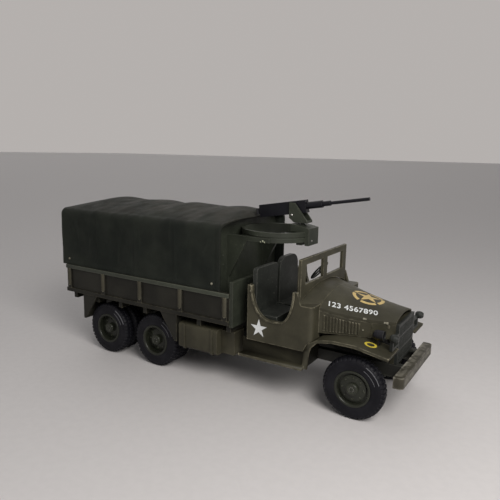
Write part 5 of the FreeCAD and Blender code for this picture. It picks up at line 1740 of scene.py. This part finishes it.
class Studio:
    """Pale floor, soft light and the camera that took the photo."""

    CAMERA_PLACE = Vector((98.38, -152.91, 74.59)) * MM
    AZIMUTH = 31.315
    ELEVATION = 10.56
    ROLL = 1.208
    FOCAL_PIXELS = 530.5
    FRAME_PIXELS = 500
    SENSOR = 36.0
    FLOOR_REACH = 6.0
    FLOOR_COLOUR = (0.68, 0.655, 0.648)
    FLOOR_ROUGHNESS = 0.7
    FLOOR_SHADES = (1.0, 0.97)
    FLOOR_NOISE = Noise(0.4, levels=(0.3, 0.7))
    KEY_PLACE = Vector((190.0, -140.0, 185.0)) * MM
    KEY_AIM = Vector((30.0, 0.0, 20.0)) * MM
    KEY_SIZE = 150.0 * MM
    KEY_POWER = 0.56
    KEY_COLOUR = (1.0, 0.975, 0.95)
    SUNS = (("fill_lamp", (0.5, -1.0, 0.9), 0.2, 70.0),
            ("top_lamp", (-0.3, 0.3, 2.0), 0.2, 60.0),
            ("back_lamp", (-0.9, 0.9, 0.5), 0.38, 60.0))
    SUN_COLOUR = (1.0, 0.98, 0.96)
    BACK_COLOUR = (0.46, 0.435, 0.42)
    SKY_COLOUR = (0.9, 0.9, 0.92)
    SKY_STRENGTH = 0.19

    def camera(self) -> None:
        """Make the camera."""
        azimuth = math.radians(self.AZIMUTH)
        elevation = math.radians(self.ELEVATION)
        back = Vector((math.sin(azimuth) * math.cos(elevation),
                       -math.cos(azimuth) * math.cos(elevation), math.sin(elevation)))
        data = bpy.data.cameras.new("camera")
        data.lens = self.SENSOR * self.FOCAL_PIXELS / self.FRAME_PIXELS
        data.sensor_width = self.SENSOR
        data.clip_start = 1.0 * MM
        data.clip_end = 2 * self.FLOOR_REACH
        camera = add_object("camera", data)
        aim = (-back).to_track_quat("-Z", "Y").to_matrix().to_4x4()
        roll = Matrix.Rotation(math.radians(self.ROLL), 4, "Z")
        camera.matrix_world = Matrix.Translation(self.CAMERA_PLACE) @ aim @ roll
        bpy.context.scene.camera = camera

    def floor(self) -> None:
        """Make the pale floor."""
        mesh = bpy.data.meshes.new("floor")
        shape = bmesh.new()
        bmesh.ops.create_grid(shape, x_segments=1, y_segments=1, size=self.FLOOR_REACH)
        shape.to_mesh(mesh)
        shape.free()
        coat = Coat("floor_paint")
        colour = coat.mottled(self.FLOOR_COLOUR, self.FLOOR_SHADES,
                              coat.noise(self.FLOOR_NOISE), self.FLOOR_NOISE.levels)
        mesh.materials.append(coat.shade({"Base Color": colour,
                                          "Roughness": self.FLOOR_ROUGHNESS}))
        add_object("floor", mesh)

    def hang(self, name: str, kind: Lamp, place: Vector, aim: Vector, settings: dict) -> None:
        """Hang one lamp.

        Args:
            name: The lamp's name.
            kind: Its kind.
            place: Where it hangs, which for a sun is only the way to it.
            aim: The point that it faces.
            settings: Its colour, its strength and how large it is.
        """
        data = bpy.data.lights.new(name, kind.value)
        for setting, value in settings.items():
            setattr(data, setting, value)
        turn = (place - aim).to_track_quat("Z", "Y").to_matrix().to_4x4()
        add_object(name, data).matrix_world = Matrix.Translation(place) @ turn

    def light(self) -> None:
        """Hang the lamps: one panel above the front and three weak suns."""
        self.hang("key_lamp", Lamp.PANEL, self.KEY_PLACE, self.KEY_AIM,
                  {"color": self.KEY_COLOUR, "energy": self.KEY_POWER, "shape": "DISK",
                   "size": self.KEY_SIZE})
        for name, way, strength, width in self.SUNS:
            self.hang(name, Lamp.SUN, Vector(way), Vector(),
                      {"color": self.SUN_COLOUR, "energy": strength,
                       "angle": math.radians(width)})

    def world(self) -> None:
        """Set the world: the backdrop as the camera and gloss see it, and a weak even light."""
        world = bpy.data.worlds.new("world")
        bpy.context.scene.world = world
        graph = Graph(world)
        camera, *others = [graph.node("ShaderNodeLightPath", {}, {}, f"Is {kind} Ray")
                           for kind in ("Camera", "Glossy", "Transmission")]
        seen = camera
        for other in others:
            seen = graph.node("ShaderNodeMath", {"operation": "MAXIMUM"}, {0: seen, 1: other})
        even = graph.node("ShaderNodeBackground", {},
                          {"Color": self.SKY_COLOUR, "Strength": self.SKY_STRENGTH})
        backdrop = graph.node("ShaderNodeBackground", {}, {"Color": self.BACK_COLOUR})
        mixed = graph.node("ShaderNodeMixShader", {}, {0: seen, 1: even, 2: backdrop})
        graph.node("ShaderNodeOutputWorld", {}, {"Surface": mixed})
        bpy.context.scene.view_settings.view_transform = "Standard"


def main() -> None:
    """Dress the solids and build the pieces."""
    logging.basicConfig(level=logging.INFO, format="%(name)s: %(message)s")
    finishes = Finishes()
    for row in frame["record"]["subparts"]:
        dress(row["node"], finishes.of_node(row["node"], row["material_slot"]))
    Wheels().build(finishes)
    CanvasCover().build(finishes)
    Fenders().build(finishes)
    Fittings().build(finishes)
    Badges().build(finishes)
    studio = Studio()
    studio.camera()
    studio.floor()
    studio.light()
    studio.world()


if __name__ == "__main__":
    main()
